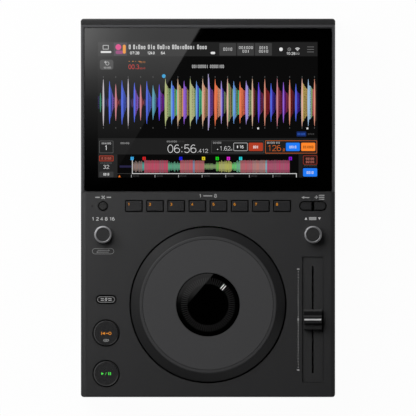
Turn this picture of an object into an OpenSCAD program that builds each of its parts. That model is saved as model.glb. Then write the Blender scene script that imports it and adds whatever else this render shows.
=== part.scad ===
// Tabletop media player: a flat deck with a jog wheel, keys and a tempo slider in front,
// and a tilted touch screen head behind. The body stands on four rubber feet.
// X runs to the right, Y to the rear, Z up. The origin is on the table, under the middle.

/* [Body] */
// Width of the body, side to side
body_w = 250; // [240:1:300]
// Depth of the body, front to back
body_d = 372; // [360:1:450]
// Height of the level deck above the table
deck_z = 72; // [68:0.5:88]
// Height of the seam between the lower and the upper case
seam_z = 34; // [30:0.5:37]
// Height of the lower case's underside above the table
ground_gap = 5; // [4:0.5:7]
// Radius of the body's upright corners
corner_r = 3; // [1:0.5:3.5]
// Thickness of the case walls
wall = 2.6; // [2:0.1:3.2]
// Thickness of the deck, the head's roof and the floor
deck_t = 3; // [2.4:0.1:3.4]
// Width of the soft slope along the deck's sides
roll_w = 4.4; // [2:0.1:5]
// Bevel along the bottom edge of the lower case
foot_bevel = 4; // [1:0.5:6]

/* [Screen head] */
// Tilt of the screen head, in degrees
head_tilt = 7; // [4:0.5:8]
// Depth of the cover glass, along the slope
glass_d = 161; // [156:0.5:172]
// Thickness of the cover glass
glass_t = 1.8; // [1.4:0.1:2.4]
// Corner radius of the cover glass
glass_r = 1.2; // [0.5:0.1:4]
// Bare strip of the head in front of the glass
front_lip = 1.1; // [0.8:0.1:3]
// Width of the rim at each side of the glass
rim_side = 2.8; // [2:0.1:6]
// Width of the rim behind the glass
rim_back = 2.3; // [1.5:0.1:6]
// Open joint between glass and rim at the sides
side_gap = 0.9; // [0.3:0.1:1.5]
// Open joint between glass and rim at the rear
back_gap = 1.2; // [0.3:0.1:2]
// Height of the rim above the glass
rim_h = 0.5; // [0.1:0.1:1]
// Depth of the case strip behind the rim, seen from above
strip_d = 5.9; // [4:0.1:9]
// Width of the screen module
lcd_w = 229; // [220:0.5:231]
// Depth of the screen module
lcd_d = 149; // [140:0.5:151]
// Thickness of the screen module
lcd_t = 4.2; // [4:0.1:6]
// Width of the lit area
view_w = 217; // [200:0.5:217]
// Depth of the lit area
view_d = 135.6; // [120:0.1:136]
// Distance from the glass's front edge to the lit area
view_front = 12.2; // [8:0.1:14]

/* [Jog wheel] */
// Distance of the jog wheel's centre from the body's front
jog_front = 91; // [90:0.5:100]
// Outer radius of the jog wheel
jog_r = 76; // [63:0.1:82]
// Open groove between the wheel and the deck
jog_gap = 1.4; // [0.6:0.1:2]
// Height of the wheel's top above the deck
jog_rise = 7; // [5:0.5:10]
// Width of the sloping ring round the top plate
ring_w = 11.6; // [9:0.1:14]
// Open joint between the ring and the top plate
plate_gap = 0.3; // [0.3:0.1:0.8]
// Thickness of the top plate
plate_t = 2.4; // [1.6:0.1:3]
// How far the top plate gives when it is touched
plate_press = 0.4; // [0.2:0.1:0.6]
// Radius of the still window in the middle
lens_r = 31; // [24:0.1:34]
// Open joint round the window
lens_gap = 0.4; // [0.3:0.1:1]
// Thickness of the window
lens_t = 1.6; // [1:0.1:2]
// Outer radius of the spindle
spindle_r = 8; // [6:0.1:9]
// Running clearance of the hub's bush on the spindle
bush_fit = 0.06; // [0.02:0.01:0.1]
// Wall of the hub's bush
bush_wall = 3.5; // [2:0.1:4]
// Teeth of the wheel's gear
wheel_teeth = 90; // [80:1:96]
// Teeth of the sensor pinion
pinion_teeth = 18; // [16:1:20]
// Tooth module of the two gears
tooth_m = 1; // [0.8:0.05:1.05]
// Radius of the slotted sensor disc
disc_r = 14; // [11:0.5:15]

/* [Keys] */
// Distance of the hot cue row from the head's front
row_gap = 13.8; // [12:0.1:20]
// Spacing of the hot cue keys
cue_pitch = 20.82; // [19.9:0.01:20.9]
// Width of a hot cue key's opening
cue_w = 17.6; // [14:0.1:17.6]
// Depth of a hot cue key's opening
cue_d = 12.1; // [9:0.1:13]
// Open joint round each key
key_gap = 1.1; // [0.4:0.05:1.1]
// Height of the small keys above the deck
key_rise = 0.8; // [0.3:0.1:2]
// Travel of a key
key_travel = 0.7; // [0.4:0.1:0.9]
// Width of the lip that holds a key under the deck
key_lip = 0.6; // [0.4:0.1:0.9]
// Bevel on the keys' top edges
key_bevel = 0.6; // [0.2:0.1:0.7]
// Distance of the knobs and the small round key from the body's side
knob_inset = 21.8; // [20:0.1:26]
// Distance of the knobs from the head's front
knob_back = 41.8; // [38:0.1:46]
// Radius of the small round key's opening
delete_r = 5; // [4:0.1:6]
// Width of the pair of half round keys' opening
pair_w = 27.3; // [24:0.1:28]
// Depth of the pair of half round keys' opening
pair_d = 10; // [8:0.1:11]
// Space between the two half round keys
pair_split = 2.6; // [1:0.1:4]
// Distance of the large keys from the body's side
main_inset = 24.8; // [22:0.1:27]
// Radius of the two large round keys' openings
main_r = 13.5; // [11:0.1:14.5]
// Height of the large round keys above the deck
main_rise = 1.6; // [0.6:0.1:3]
// Distance of the play key from the body's front
play_front = 23.1; // [20:0.1:26]
// Distance of the cue key from the body's front
cue_front = 63; // [58:0.1:66]
// Distance of the shift key from the body's front
shift_front = 96; // [92:0.1:104]
// Width of the shift key's opening
shift_w = 20.7; // [16:0.1:22]
// Depth of the shift key's opening
shift_d = 9.2; // [7:0.1:10]
// Radius of the status light
light_r = 1.2; // [0.8:0.1:2]
// Distance of the status light from the small round key
light_off = 10.8; // [8:0.1:11.5]

/* [Knobs] */
// Radius of a knob
knob_r = 8.6; // [7:0.1:10]
// Height of a knob's top above the deck
knob_rise = 12; // [9:0.5:16]
// Radius of the dark insert in a knob's top
knob_cap_r = 6.6; // [5:0.1:7.6]
// Gap between a knob's skirt and the deck
knob_lift = 1; // [0.8:0.1:2]
// Travel of a pushed knob
knob_push = 0.5; // [0.3:0.1:0.6]
// Radius of a knob's shaft
shaft_r = 3; // [2.6:0.1:3.4]
// Radius of the push rod inside the shaft
rod_r = 1.4; // [1:0.1:1.6]
// Running clearance of the shaft on the rod
rod_fit = 0.06; // [0.02:0.01:0.1]

/* [Tempo slider] */
// Distance of the slider from the body's side
slider_inset = 22; // [20:0.1:26]
// Distance of the slider's middle from the body's front
slider_front = 76.3; // [74:0.1:100]
// Width of the sunken slider panel
tray_w = 20.9; // [18:0.1:23]
// Length of the sunken slider panel
tray_d = 123.8; // [118:0.1:126]
// Depth of the sunken slider panel below the deck
tray_sink = 1.8; // [0.6:0.1:2]
// Full travel of the slider
slider_travel = 100; // [60:1:100]
// Width of the slider's slot
slot_w = 1.8; // [1.6:0.1:2.4]
// Width of the slider's cap
fader_w = 17.5; // [14:0.1:18]
// Length of the slider's cap
fader_d = 20; // [14:0.1:20]
// Height of the slider's cap
fader_h = 11; // [8:0.1:14]
// Width of the slider's lever
lever_d = 4.6; // [3:0.1:5]

/* [Rear and underside] */
// Width of the rear connector bay
bay_w = 206; // [200:1:210]
// Height of the rear connector bay
bay_h = 36; // [34:0.5:38]
// Height of the bay's lower edge above the table
bay_z = 17; // [15:0.5:18]
// Depth of the rear connector bay
bay_d = 16; // [14:0.5:20]
// Radius of the rubber feet
foot_r = 12; // [8:0.5:14]
// Distance of the feet from the body's sides
foot_side = 25; // [20:1:40]
// Distance of the feet from the body's front and rear
foot_end = 30; // [22:1:50]

/* [Hidden] */
$fn = 72;

// Shared values
half_w = body_w / 2;
half_d = body_d / 2;
over = 1;                        // how far a cutter runs past the face it opens
fit = 0.3;                       // gap between neighbouring pieces that don't touch
t_cos = cos(head_tilt);
t_sin = sin(head_tilt);
t_tan = tan(head_tilt);
case_floor = ground_gap + deck_t;
deck_under = deck_z - deck_t;
bevel_s = 1.4;                   // size of the case's rounded outer edges
column_r = 4;                    // radius of the upper case's screw columns
column_foot = seam_z - 4;        // where the upper columns stand on the lower ones
case_screw_r = 1.5;
case_screw_l = 18;
case_head_r = 3;
case_head_h = 2.2;
screw_seat = seam_z - 10;        // height of the case screws' seats
seam_bevel = 0.8;
foot_top = ground_gap + 1;
post_r = 3;                      // radius of the posts under the large boards
vent_w = 3;                      // width, length and spacing of the cooling slots in the floor
vent_l = 60;
vent_pitch = 9;
vent_y = -20;

// Screen head: y and z below are measured along and across the glass
head_step = 0.3;                 // height of the glass above the deck at its front edge
head_len = front_lip + glass_d + back_gap + rim_back;
head_y = half_d - strip_d - head_len * t_cos;
head_z = deck_z + head_step;
glass_w = body_w - 2 * (rim_side + side_gap);
// Places of the case screws' columns on the right: rear corner, front corner, middle
column_at = [[half_w - 9, half_d - 7.5], [half_w - 9, 7.5 - half_d], [half_w - 7, head_y - 28]];
ledge_t = 1.2;                   // thickness of the ledge under the glass
roof_top = -(glass_t + ledge_t);
roof_under = roof_top - deck_t;
strip_drop = 0.8;                // drop of the rear strip below the glass
rest_gap = 0.02;                 // gap where the frame, the screen module and its plate rest
lcd_y = front_lip + view_front + view_d / 2;
lcd_gap = 1;                     // room round the screen module
lcd_low = -glass_t - lcd_t;
bracket_t = 1.2;
bracket_w = lcd_w + 7;
bracket_d = lcd_d + 7;

lap_d = 6;                       // flange of the screen housing under the deck's edge
lap_t = 2.6;
lap_screws = [for (x = [-96, -32, 32, 96]) [x, head_y - lap_d / 2]];

// Jog wheel
jog_y = -half_d + jog_front;
jog_top = deck_z + jog_rise;
ring_in = jog_r - ring_w;
plate_r = ring_in - plate_gap;
plate_in = lens_r + lens_gap;
plate_z = jog_top - plate_t;
lens_sink = 0.2;                 // the window lies this far below the plate
lens_z = jog_top - lens_sink - lens_t;
cup_wall = 1.5;
panel_t = 1.9;
cup_t = 2;
cup_z = lens_z - panel_t - 0.1 - cup_t;
hub_t = 3;
hub_top = cup_z - 4;
hub_z = hub_top - hub_t;
gear_h = 5;
gear_z = hub_z - gear_h;
bush_r = spindle_r + bush_fit + bush_wall;
chassis_t = 2;
chassis_top = deck_z - 18;
chassis_z = chassis_top - chassis_t;
chassis_r = jog_r + jog_gap + 8.6;
chassis_boss_r = 3.5;
chassis_boss_at = jog_r + jog_gap + chassis_boss_r + 1.1;
spindle_bore = 5;                // the display's wires pass through it
spindle_flange_r = bush_r + 3;
spindle_flange_t = 3;
bush_flange_t = 0.8;
bush_z = chassis_top + spindle_flange_t + 0.2;
pinion_dist = tooth_m * (wheel_teeth + pinion_teeth) / 2;
pinion_y = jog_y + pinion_dist;
pinion_pin_r = 1.5;
disc_t = 0.6;
disc_z = chassis_top + 4.4;

// Keys: heights of the parts below the deck, the same for every key
lip_t = 1.2;
lip_top = deck_under - fit;
lip_z = lip_top - lip_t;
board_t = 1.6;
board_top = deck_under - 9.4;
board_z = board_top - board_t;
switch_w = 6;
switch_h = 3.6;
stem_r = 1.4;
stem_bore = stem_r + fit;
stem_z = board_top + 2.6;
switch_floor = board_top + 1.4;
row_y = head_y - row_gap;
knob_x = half_w - knob_inset;
knob_y = head_y - knob_back;
main_x = half_w - main_inset;
shift_y = -half_d + shift_front;
cue_y = -half_d + cue_front;
play_y = -half_d + play_front;
pair_key_w = (pair_w - pair_split) / 2 - key_gap;
boss_r = 2.4;
pilot_r = 1.05;
board_screw_r = 0.85;
board_head_r = 2;
board_screw_l = 6.5;
chassis_screw_l = 8;
slider_screw_l = 13;
cue_count = 8;                   // hot cue keys, one node each
key_r = 1;                       // corner radius of the hot cue keys' openings
main_bevel = 1.1;                // bevel on the two large keys' top edges
shift_r = shift_d / 2 - 0.01;    // corner radius of the shift key's opening

// Knobs
knob_z = deck_z + knob_lift;
knob_top = deck_z + knob_rise;
encoder_w = 12;
encoder_h = 5;
bushing_r = shaft_r + 1.6;
bushing_top = deck_under - 1.5;
rod_z = board_top + 1.2 + knob_push;
rod_top = deck_z + 4;

// Tempo slider
slider_x = half_w - slider_inset;
slider_y = -half_d + slider_front;
tray_top = deck_z - tray_sink;
slot_d = slider_travel + lever_d + 0.6;
lever_t = slot_w - 2 * fit;
slider_boss = slot_d / 2 + 5;    // distance of the slider's screws from its middle
house_w = 9;
house_d = slot_d + 18;
house_top = deck_under - 6.5;
house_z = house_top - 10;
fader_z = deck_z - tray_sink + 0.8;

// Rear bay and boards
rear_in = half_d - wall;
bay_t = 1.2;
bay_y = rear_in - bay_d;         // outer face of the bay's back plate
pcb_z = 22;
pcb_top = pcb_z + board_t;
pcb_y0 = head_y + 42;
pcb_y1 = bay_y - bay_t - 1.5;
inlet_x = -74;
inlet_z = bay_z + bay_h / 2;
rocker_x = -34;
rocker_tilt = 14;
jack_x = [18, 34, 52];
jack_r = 4.15;                   // standard radius of a coaxial jack's shell
lan_x = 74;
usb_x = 92;

// Bosses that hold the key boards, each at a gap between two keys
row_bosses = [[-knob_x + 13.5, row_y], [knob_x - 17.7, row_y],
    [-knob_x, knob_y - 13], [knob_x, knob_y - 13]];
left_bosses = [[-main_x, shift_y + shift_d / 2 + 5.6], [-main_x, cue_y + main_r + 6.2],
    [-main_x, (cue_y + play_y) / 2]];
key_places = concat([for (i = [0:cue_count - 1]) [cue_key_x(i), row_y]],
    [[-knob_x, row_y], [pair_x(-1), row_y], [pair_x(1), row_y],
    [-main_x, shift_y], [-main_x, cue_y], [-main_x, play_y]]);

// Middle of hot cue key i
function cue_key_x(i) = (i - (cue_count - 1) / 2) * cue_pitch;
// Middle of the left (-1) or right (1) key of the pair
function pair_x(side) = knob_x + side * (pair_split + pair_key_w) / 2;
// Point of the body's section from a point along and across the glass
function head_pt(y, z) = [head_y + y * t_cos - z * t_sin, head_z + y * t_sin + z * t_cos];
// Height of the rear strip at depth y
function strip_z(y) = head_z + (y - head_y) * t_tan - strip_drop / t_cos;

// ---- Helpers ----

// Rectangle with round corners
module rrect(w, d, r) {
    square([w - 2 * r, d], center = true);
    square([w, d - 2 * r], center = true);
    for (sx = [-1, 1], sy = [-1, 1])
        translate([sx * (w / 2 - r), sy * (d / 2 - r)])
            circle(r);
}

// Section in Y and Z, drawn out along X
module along_x(w) {
    rotate([90, 0, 90])
        linear_extrude(w, center = true)
            children();
}

// Section in X and Z, drawn out along Y
module along_y(d) {
    rotate([90, 0, 0])
        linear_extrude(d, center = true)
            children();
}

// Places children on the glass plane, at the head's front edge
module on_head() {
    translate([0, head_y, head_z])
        rotate([head_tilt, 0, 0])
            children();
}

// Round tube
module tube(r, bore, h) {
    difference() {
        cylinder(h = h, r = r);
        translate([0, 0, -over])
            cylinder(h = h + 2 * over, r = bore);
    }
}

// Block with its top edges bevelled, standing on z = 0
module bevel_block(w, d, h, b) {
    intersection() {
        translate([0, 0, h / 2])
            cube([w, d, h], center = true);
        along_y(d + over)
            polygon([[-w / 2, -over], [-w / 2, h - b], [-w / 2 + b, h], [w / 2 - b, h],
                [w / 2, h - b], [w / 2, -over]]);
        along_x(w + over)
            polygon([[-d / 2, -over], [-d / 2, h - b], [-d / 2 + b, h], [d / 2 - b, h],
                [d / 2, h - b], [d / 2, -over]]);
    }
}

// Outline of one of the two half round keys: side is -1 or 1
module half_round(w, d, r, side) {
    translate([side * (w / 2 - r), 0])
        circle(r);
    translate([-side * r / 2, 0])
        square([w - r, d], center = true);
}

// External gear outline with straight flanks
module gear_outline(teeth, m) {
    tip = teeth * m / 2 + 0.75 * m;
    root = teeth * m / 2 - 1.05 * m;
    step = 360 / teeth;
    tip_half = atan(0.36 * m / tip);
    root_half = atan(0.95 * m / root);
    polygon([for (i = [0:teeth - 1]) for (p = [[-root_half, root], [-tip_half, tip],
        [tip_half, tip], [root_half, root]])
        p[1] * [cos(i * step + p[0]), sin(i * step + p[0])]]);
}

// ---- Case ----

// Outer form of the upper case: the level deck with its walls
module deck_form() {
    intersection() {
        along_x(body_w)
            polygon([[-half_d, seam_z], [-half_d, deck_z - bevel_s],
                [-half_d + 0.3 * bevel_s, deck_z - 0.3 * bevel_s], [-half_d + bevel_s, deck_z],
                [head_y, deck_z], [head_y, seam_z]]);
        linear_extrude(deck_z * 2)
            rrect(body_w, body_d, corner_r);
    }
}

// Outer form of the screen housing: head roof, rear strip and walls
module housing_form() {
    intersection() {
        along_x(body_w)
            polygon([[head_y, seam_z], [head_y, deck_under], head_pt(0, roof_top),
                head_pt(head_len + fit, roof_top), head_pt(head_len + fit, -strip_drop),
                [half_d - bevel_s, strip_z(half_d - bevel_s)],
                [half_d - 0.3 * bevel_s, strip_z(half_d) - 0.3 * bevel_s],
                [half_d, strip_z(half_d) - bevel_s], [half_d, seam_z]]);
        linear_extrude(deck_z * 2)
            rrect(body_w, body_d, corner_r);
    }
}

// Soft slope along both sides of the deck
module deck_roll() {
    for (side = [-1, 1])
        translate([0, (head_y - half_d) / 2, 0])
            along_y(half_d + head_y + 2 * over)
                polygon([for (p = [[roll_w, 0], [1.2, 0.35], [0.35, 0.75], [0, bevel_s],
                    [-over, bevel_s], [-over, -over], [roll_w, -over]])
                    [side * (half_w - p[0]), deck_z - p[1]]]);
}

// Room inside the deck's walls, open to the rear
module deck_room() {
    along_x(body_w - 2 * wall)
        polygon([[wall - half_d, seam_z - over], [wall - half_d, deck_under],
            [head_y + over, deck_under], [head_y + over, seam_z - over]]);
}

// Room inside the screen housing, open to the front
module housing_room() {
    along_x(body_w - 2 * wall)
        polygon([[head_y - over, seam_z - over], [head_y - over, head_pt(0, roof_under)[1]],
            head_pt(0, roof_under), head_pt(head_len - 1, roof_under),
            [rear_in, strip_z(rear_in) - deck_t], [rear_in, seam_z - over]]);
}

// Openings of the deck, cut right through
module deck_openings() {
    translate([0, 0, deck_under - over])
        linear_extrude(deck_t + 2 * over) {
            translate([0, jog_y])
                circle(jog_r + jog_gap);
            for (i = [0:cue_count - 1])
                translate([cue_key_x(i), row_y])
                    rrect(cue_w, cue_d, key_r);
            translate([-knob_x, row_y])
                circle(delete_r);
            translate([-knob_x - light_off, row_y])
                circle(light_r);
            translate([knob_x, row_y])
                rrect(pair_w, pair_d, pair_d / 2 - 0.01);
            for (x = [-knob_x, knob_x])
                translate([x, knob_y])
                    circle(bushing_r + fit);
            translate([-main_x, shift_y])
                rrect(shift_w, shift_d, shift_r);
            for (y = [cue_y, play_y])
                translate([-main_x, y])
                    circle(main_r);
            translate([slider_x, slider_y])
                rrect(tray_w, tray_d, 0.8);
        }
}

// Mouth of the rear connector bay, cut through both cases
module bay_mouth() {
    translate([0, rear_in + wall / 2, bay_z + bay_h / 2])
        cube([bay_w, wall + 2 * over, bay_h], center = true);
}

// Screw columns of the upper case at the given places, on both sides
module columns(places) {
    for (p = places, s = [-1, 1])
        translate([s * p[0], p[1], column_foot])
            cylinder(h = column_top(p[1]) - column_foot, r = column_r);
}

// Pilot holes of these columns
module column_holes(places) {
    for (p = places, s = [-1, 1])
        translate([s * p[0], p[1], column_foot - over])
            cylinder(h = case_screw_l + 4, r = case_screw_r + 0.15);
}

// Upper case: deck, walls and the bosses under the deck
module top_case() {
    color([0.2, 0.2, 0.205])
        difference() {
            union() {
                difference() {
                    deck_form();
                    deck_room();
                    deck_roll();
                    deck_openings();
                }
                columns([column_at[1], column_at[2]]);
                for (p = concat(row_bosses, left_bosses))
                    translate([p[0], p[1], board_top])
                        cylinder(h = deck_under - board_top + over, r = boss_r);
                for (a = [45:90:315])
                    translate([0, jog_y, chassis_top])
                        rotate([0, 0, a])
                            translate([chassis_boss_at, 0, 0])
                                cylinder(h = deck_under - chassis_top + over, r = chassis_boss_r);
            }
            column_holes([column_at[1], column_at[2]]);
            for (p = concat(row_bosses, left_bosses))
                translate([p[0], p[1], board_top - over])
                    cylinder(h = board_screw_l + 0.5, r = pilot_r);
            for (a = [45:90:315])
                translate([0, jog_y, chassis_top - over])
                    rotate([0, 0, a])
                        translate([chassis_boss_at, 0, 0])
                            cylinder(h = chassis_screw_l + over, r = pilot_r);
            for (p = lap_screws)
                translate([p[0], p[1], deck_under - over])
                    cylinder(h = over + deck_t - 0.8, r = pilot_r);
        }
}

// Housing of the screen: roof, rear strip, rear wall and a flange under the deck's edge
module screen_housing() {
    color([0.2, 0.2, 0.205])
        difference() {
            union() {
                difference() {
                    housing_form();
                    housing_room();
                }
                translate([wall - half_w, head_y - lap_d, deck_under - lap_t])
                    cube([body_w - 2 * wall, lap_d + 1.5, lap_t]);
                columns([column_at[0]]);
            }
            column_holes([column_at[0]]);
            for (p = lap_screws)
                translate([p[0], p[1], deck_under - lap_t - over])
                    cylinder(h = lap_t + 2 * over, r = pilot_r);
            on_head()
                translate([0, lcd_y, roof_under])
                    linear_extrude(2 * deck_t + over, center = true)
                        square([lcd_w + 2 * lcd_gap, lcd_d + 2 * lcd_gap], center = true);
            bay_mouth();
        }
}

// Top of a screw column at depth y: it ends inside the deck or the roof
function column_top(y) = y > head_y ? head_z + (y - head_y) * t_tan + roof_top - 1 : deck_z - 1;

// Lower case: a tray with screw tubes, board posts and foot seats
module bottom_case() {
    color([0.17, 0.17, 0.175])
        difference() {
            union() {
                difference() {
                    intersection() {
                        translate([0, 0, ground_gap])
                            linear_extrude(seam_z - ground_gap)
                                rrect(body_w, body_d, corner_r);
                        lower_bevels();
                    }
                    difference() {
                        translate([0, 0, case_floor])
                            linear_extrude(seam_z)
                                rrect(body_w - 2 * wall, body_d - 2 * wall, 1);
                        difference() {
                            cube([body_w, body_d, 2 * (case_floor + foot_bevel)], center = true);
                            cube([body_w - 2 * foot_bevel - 2 * wall,
                                body_d - 2 * foot_bevel - 2 * wall, body_w], center = true);
                        }
                    }
                }
                for (p = column_at, s = [-1, 1])
                    translate([s * p[0], p[1], case_floor - over])
                        cylinder(h = column_foot - case_floor + over, r = column_r + 0.5);
                for (p = pcb_posts())
                    translate([p[0], p[1], case_floor - over])
                        cylinder(h = pcb_z - case_floor + over, r = post_r);
            }
            for (p = column_at, s = [-1, 1])
                translate([s * p[0], p[1], 0]) {
                    cylinder(h = seam_z, r = case_screw_r + fit);
                    cylinder(h = screw_seat, r = case_head_r + fit);
                }
            for (p = pcb_posts())
                translate([p[0], p[1], case_floor + 4])
                    cylinder(h = pcb_z, r = pilot_r);
            for (p = foot_places())
                translate([p[0], p[1], 0])
                    cylinder(h = foot_top, r = foot_r + fit);
            for (i = [-6:6])
                translate([i * vent_pitch, vent_y, case_floor - deck_t / 2])
                    cube([vent_w, vent_l, deck_t + 2 * over], center = true);
            bay_mouth();
        }
}

// Sloping edges of the lower case
module lower_bevels() {
    along_y(body_d)
        polygon([[foot_bevel - half_w, ground_gap], [-half_w, ground_gap + foot_bevel],
            [-half_w, seam_z - seam_bevel], [seam_bevel - half_w, seam_z],
            [half_w - seam_bevel, seam_z], [half_w, seam_z - seam_bevel],
            [half_w, ground_gap + foot_bevel],
            [half_w - foot_bevel, ground_gap]]);
}

// Posts under the two large boards
function pcb_posts() = [for (x = [-half_w + 24, -18, 2, half_w - 24],
    y = [pcb_y0 + 6, pcb_y1 - 36]) [x, y]];
function foot_places() = [for (sx = [-1, 1], sy = [-1, 1])
    [sx * (half_w - foot_side), sy * (half_d - foot_end)]];

// Four rubber feet
module feet() {
    color([0.06, 0.06, 0.06])
        for (p = foot_places())
            translate([p[0], p[1], 0]) {
                cylinder(h = 1, r1 = foot_r - 1, r2 = foot_r);
                translate([0, 0, 1])
                    cylinder(h = foot_top - 1, r = foot_r);
            }
}

// Screws that close the case from below
module case_screws() {
    color([0.55, 0.55, 0.56])
        for (p = column_at, s = [-1, 1])
            translate([s * p[0], p[1], screw_seat])
                screw(case_screw_r, case_head_r, case_head_h, case_screw_l);
}

// Pan head screw, head down, its seat at z = 0
module screw(r, head_r, head_h, length) {
    cylinder(h = length, r = r);
    translate([0, 0, -head_h])
        difference() {
            cylinder(h = head_h, r = head_r);
            translate([0, 0, -over])
                cylinder(h = over + head_h / 2, r = r * 0.8, $fn = 6);
        }
}

// Small pan head screw
module board_screw(length) {
    screw(board_screw_r, board_head_r, 1.4, length);
}

// Screws of the key boards, the jog chassis, the slider and the lap of the upper case
module board_screws() {
    color([0.6, 0.6, 0.62]) {
        for (p = concat(row_bosses, left_bosses))
            translate([p[0], p[1], board_z])
                board_screw(board_screw_l);
        for (a = [45:90:315])
            translate([0, jog_y, chassis_z])
                rotate([0, 0, a])
                    translate([chassis_boss_at, 0, 0])
                        board_screw(chassis_screw_l);
        for (s = [-1, 1])
            translate([slider_x, slider_y + s * slider_boss, house_z])
                board_screw(slider_screw_l);
        for (p = lap_screws)
            translate([p[0], p[1], deck_under - lap_t])
                board_screw(lap_t + 1.8);
    }
}

// ---- Screen head ----

// Rim and ledge round the cover glass, open at the front
module display_frame() {
    color([0.36, 0.36, 0.365])
        on_head()
            difference() {
                translate([0, head_len / 2, 0])
                    along_y(head_len)
                        polygon([[-half_w, roof_top + rest_gap], [-half_w, rim_h - 1.8],
                            [0.25 - half_w, rim_h - 0.8], [0.9 - half_w, rim_h],
                            [half_w - 0.9, rim_h], [half_w - 0.25, rim_h - 0.8],
                            [half_w, rim_h - 1.8], [half_w, roof_top + rest_gap]]);
                translate([0, (head_len - rim_back - over) / 2, -glass_t])
                    linear_extrude(glass_t + rim_h + over)
                        square([body_w - 2 * rim_side, head_len - rim_back + over],
                            center = true);
                translate([0, lcd_y, roof_top - over])
                    linear_extrude(ledge_t + 2 * over)
                        square([lcd_w + 2 * lcd_gap, lcd_d + 2 * lcd_gap], center = true);
            }
}

// Sheet of cover glass
module cover_glass() {
    color([0.01, 0.01, 0.012])
        on_head()
            translate([0, front_lip + glass_d / 2, -glass_t])
                linear_extrude(glass_t)
                    rrect(glass_w, glass_d, glass_r);
}

// Screen module: a metal tray with the lit panel a little below its edge
module lcd_module() {
    color([0.3, 0.3, 0.32])
        on_head()
            translate([0, lcd_y, lcd_low + rest_gap])
                difference() {
                    linear_extrude(lcd_t - 2 * rest_gap)
                        rrect(lcd_w, lcd_d, 1);
                    translate([0, 0, lcd_t - 0.2])
                        linear_extrude(over)
                            square([view_w + 1, view_d + 1], center = true);
                }
}

bracket_top = min(lcd_low, roof_under) - rest_gap;

// Metal plate that holds the screen module up against the roof
module display_bracket() {
    color([0.62, 0.63, 0.65])
        on_head()
            translate([0, lcd_y, bracket_top - bracket_t])
                difference() {
                    union() {
                        linear_extrude(bracket_t)
                            rrect(bracket_w, bracket_d, 3);
                        if (lcd_low > bracket_top)
                            linear_extrude(bracket_t + lcd_low - bracket_top)
                                square([lcd_w - 8, lcd_d - 8], center = true);
                        if (roof_under > bracket_top)
                            difference() {
                                linear_extrude(bracket_t + roof_under - rest_gap - bracket_top)
                                    rrect(bracket_w, bracket_d, 3);
                                translate([0, 0, -over])
                                    linear_extrude(lcd_t + 2 * over)
                                        square([lcd_w + 1, lcd_d + 1], center = true);
                            }
                    }
                    for (x = [-70, ribbon_x, 80])
                        translate([x, 0, -over])
                            linear_extrude(lcd_t)
                                rrect(30, 16, 2);
                }
}

ribbon_x = 40;
ribbon_y = head_y + lcd_y * t_cos;

// Flat cable from the main board up to the screen module
module display_ribbon() {
    low_z = pcb_top + 3;
    top_z = head_z + (ribbon_y - 0.3 - head_y) * t_tan + lcd_low / t_cos - 0.05;
    color([0.85, 0.83, 0.78])
        translate([ribbon_x - 10, ribbon_y - 0.2, low_z])
            cube([20, 0.4, top_z - low_z]);
}

// ---- Rear bay ----

// Places a drawing on the bay's back plate, as seen from behind, with +Z outwards
module on_bay(x, z) {
    translate([x, bay_y, z])
        rotate([90, 0, 180])
            children();
}

// Sheet metal pan that holds the connectors
module rear_panel() {
    color([0.12, 0.12, 0.125])
        difference() {
            translate([-bay_w / 2 - bay_t, bay_y - bay_t, bay_z - bay_t])
                cube([bay_w + 2 * bay_t, bay_d + bay_t, bay_h + 2 * bay_t]);
            translate([-bay_w / 2, bay_y, bay_z])
                cube([bay_w, bay_d + over, bay_h]);
            on_bay(inlet_x, inlet_z)
                cutter(inlet_w + 0.6, inlet_h + 0.6, 3);
            on_bay(rocker_x, inlet_z)
                cutter(switch_body_w + 0.6, switch_body_h + 0.6, 1);
            for (x = jack_x)
                on_bay(x, jack_z)
                    translate([0, 0, -bay_t - over])
                        cylinder(h = bay_t + 2 * over, r = jack_neck_r + fit);
            on_bay(lan_x, pcb_top + lan_h / 2)
                cutter(lan_w + 0.6, lan_h + 0.6, 0.5);
            on_bay(usb_x, pcb_top + usb_h / 2)
                cutter(usb_w + 0.6, usb_h + 0.6, 0.5);
        }
}

// Rounded cutter through the back plate
module cutter(w, h, r) {
    translate([0, 0, -bay_t - over])
        linear_extrude(bay_t + 2 * over)
            rrect(w, h, r);
}

inlet_w = 27;
inlet_h = 20;
socket_w = 24.4;
socket_h = 16.4;

// Mains inlet: a flanged socket with three blades
module ac_inlet() {
    color([0.05, 0.05, 0.055])
        on_bay(inlet_x, inlet_z)
            difference() {
                union() {
                    linear_extrude(2.5)
                        rrect(32, 24, 4);
                    translate([0, 0, -16])
                        linear_extrude(16 + over)
                            rrect(inlet_w, inlet_h, 2.5);
                }
                translate([0, 0, -13])
                    linear_extrude(13 + 2.5 + over)
                        rrect(socket_w, socket_h, 3);
            }
    color([0.8, 0.8, 0.8])
        on_bay(inlet_x, inlet_z)
            for (p = [[-7, -2], [0, 2], [7, -2]])
                translate([p[0] - 1, p[1] - 2, -14])
                    cube([2, 4, 11]);
}

switch_body_w = 21;
switch_body_h = 15;
rocker_w = 15.6;
pivot_r = 1.2;

// Frame that the power rocker turns in
module switch_housing() {
    color([0.05, 0.05, 0.055])
        on_bay(rocker_x, inlet_z)
            difference() {
                union() {
                    linear_extrude(2)
                        rrect(switch_body_w + 3, switch_body_h + 3, 1.5);
                    translate([0, 0, -12])
                        linear_extrude(12 + over)
                            rrect(switch_body_w, switch_body_h, 1);
                }
                translate([0, 0, -8])
                    linear_extrude(12)
                        square([rocker_w + 0.6, 13], center = true);
                translate([0, 0, -1])
                    rotate([0, 90, 0])
                        cylinder(h = rocker_w + 3, r = pivot_r + 0.06, center = true);
            }
}

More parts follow.
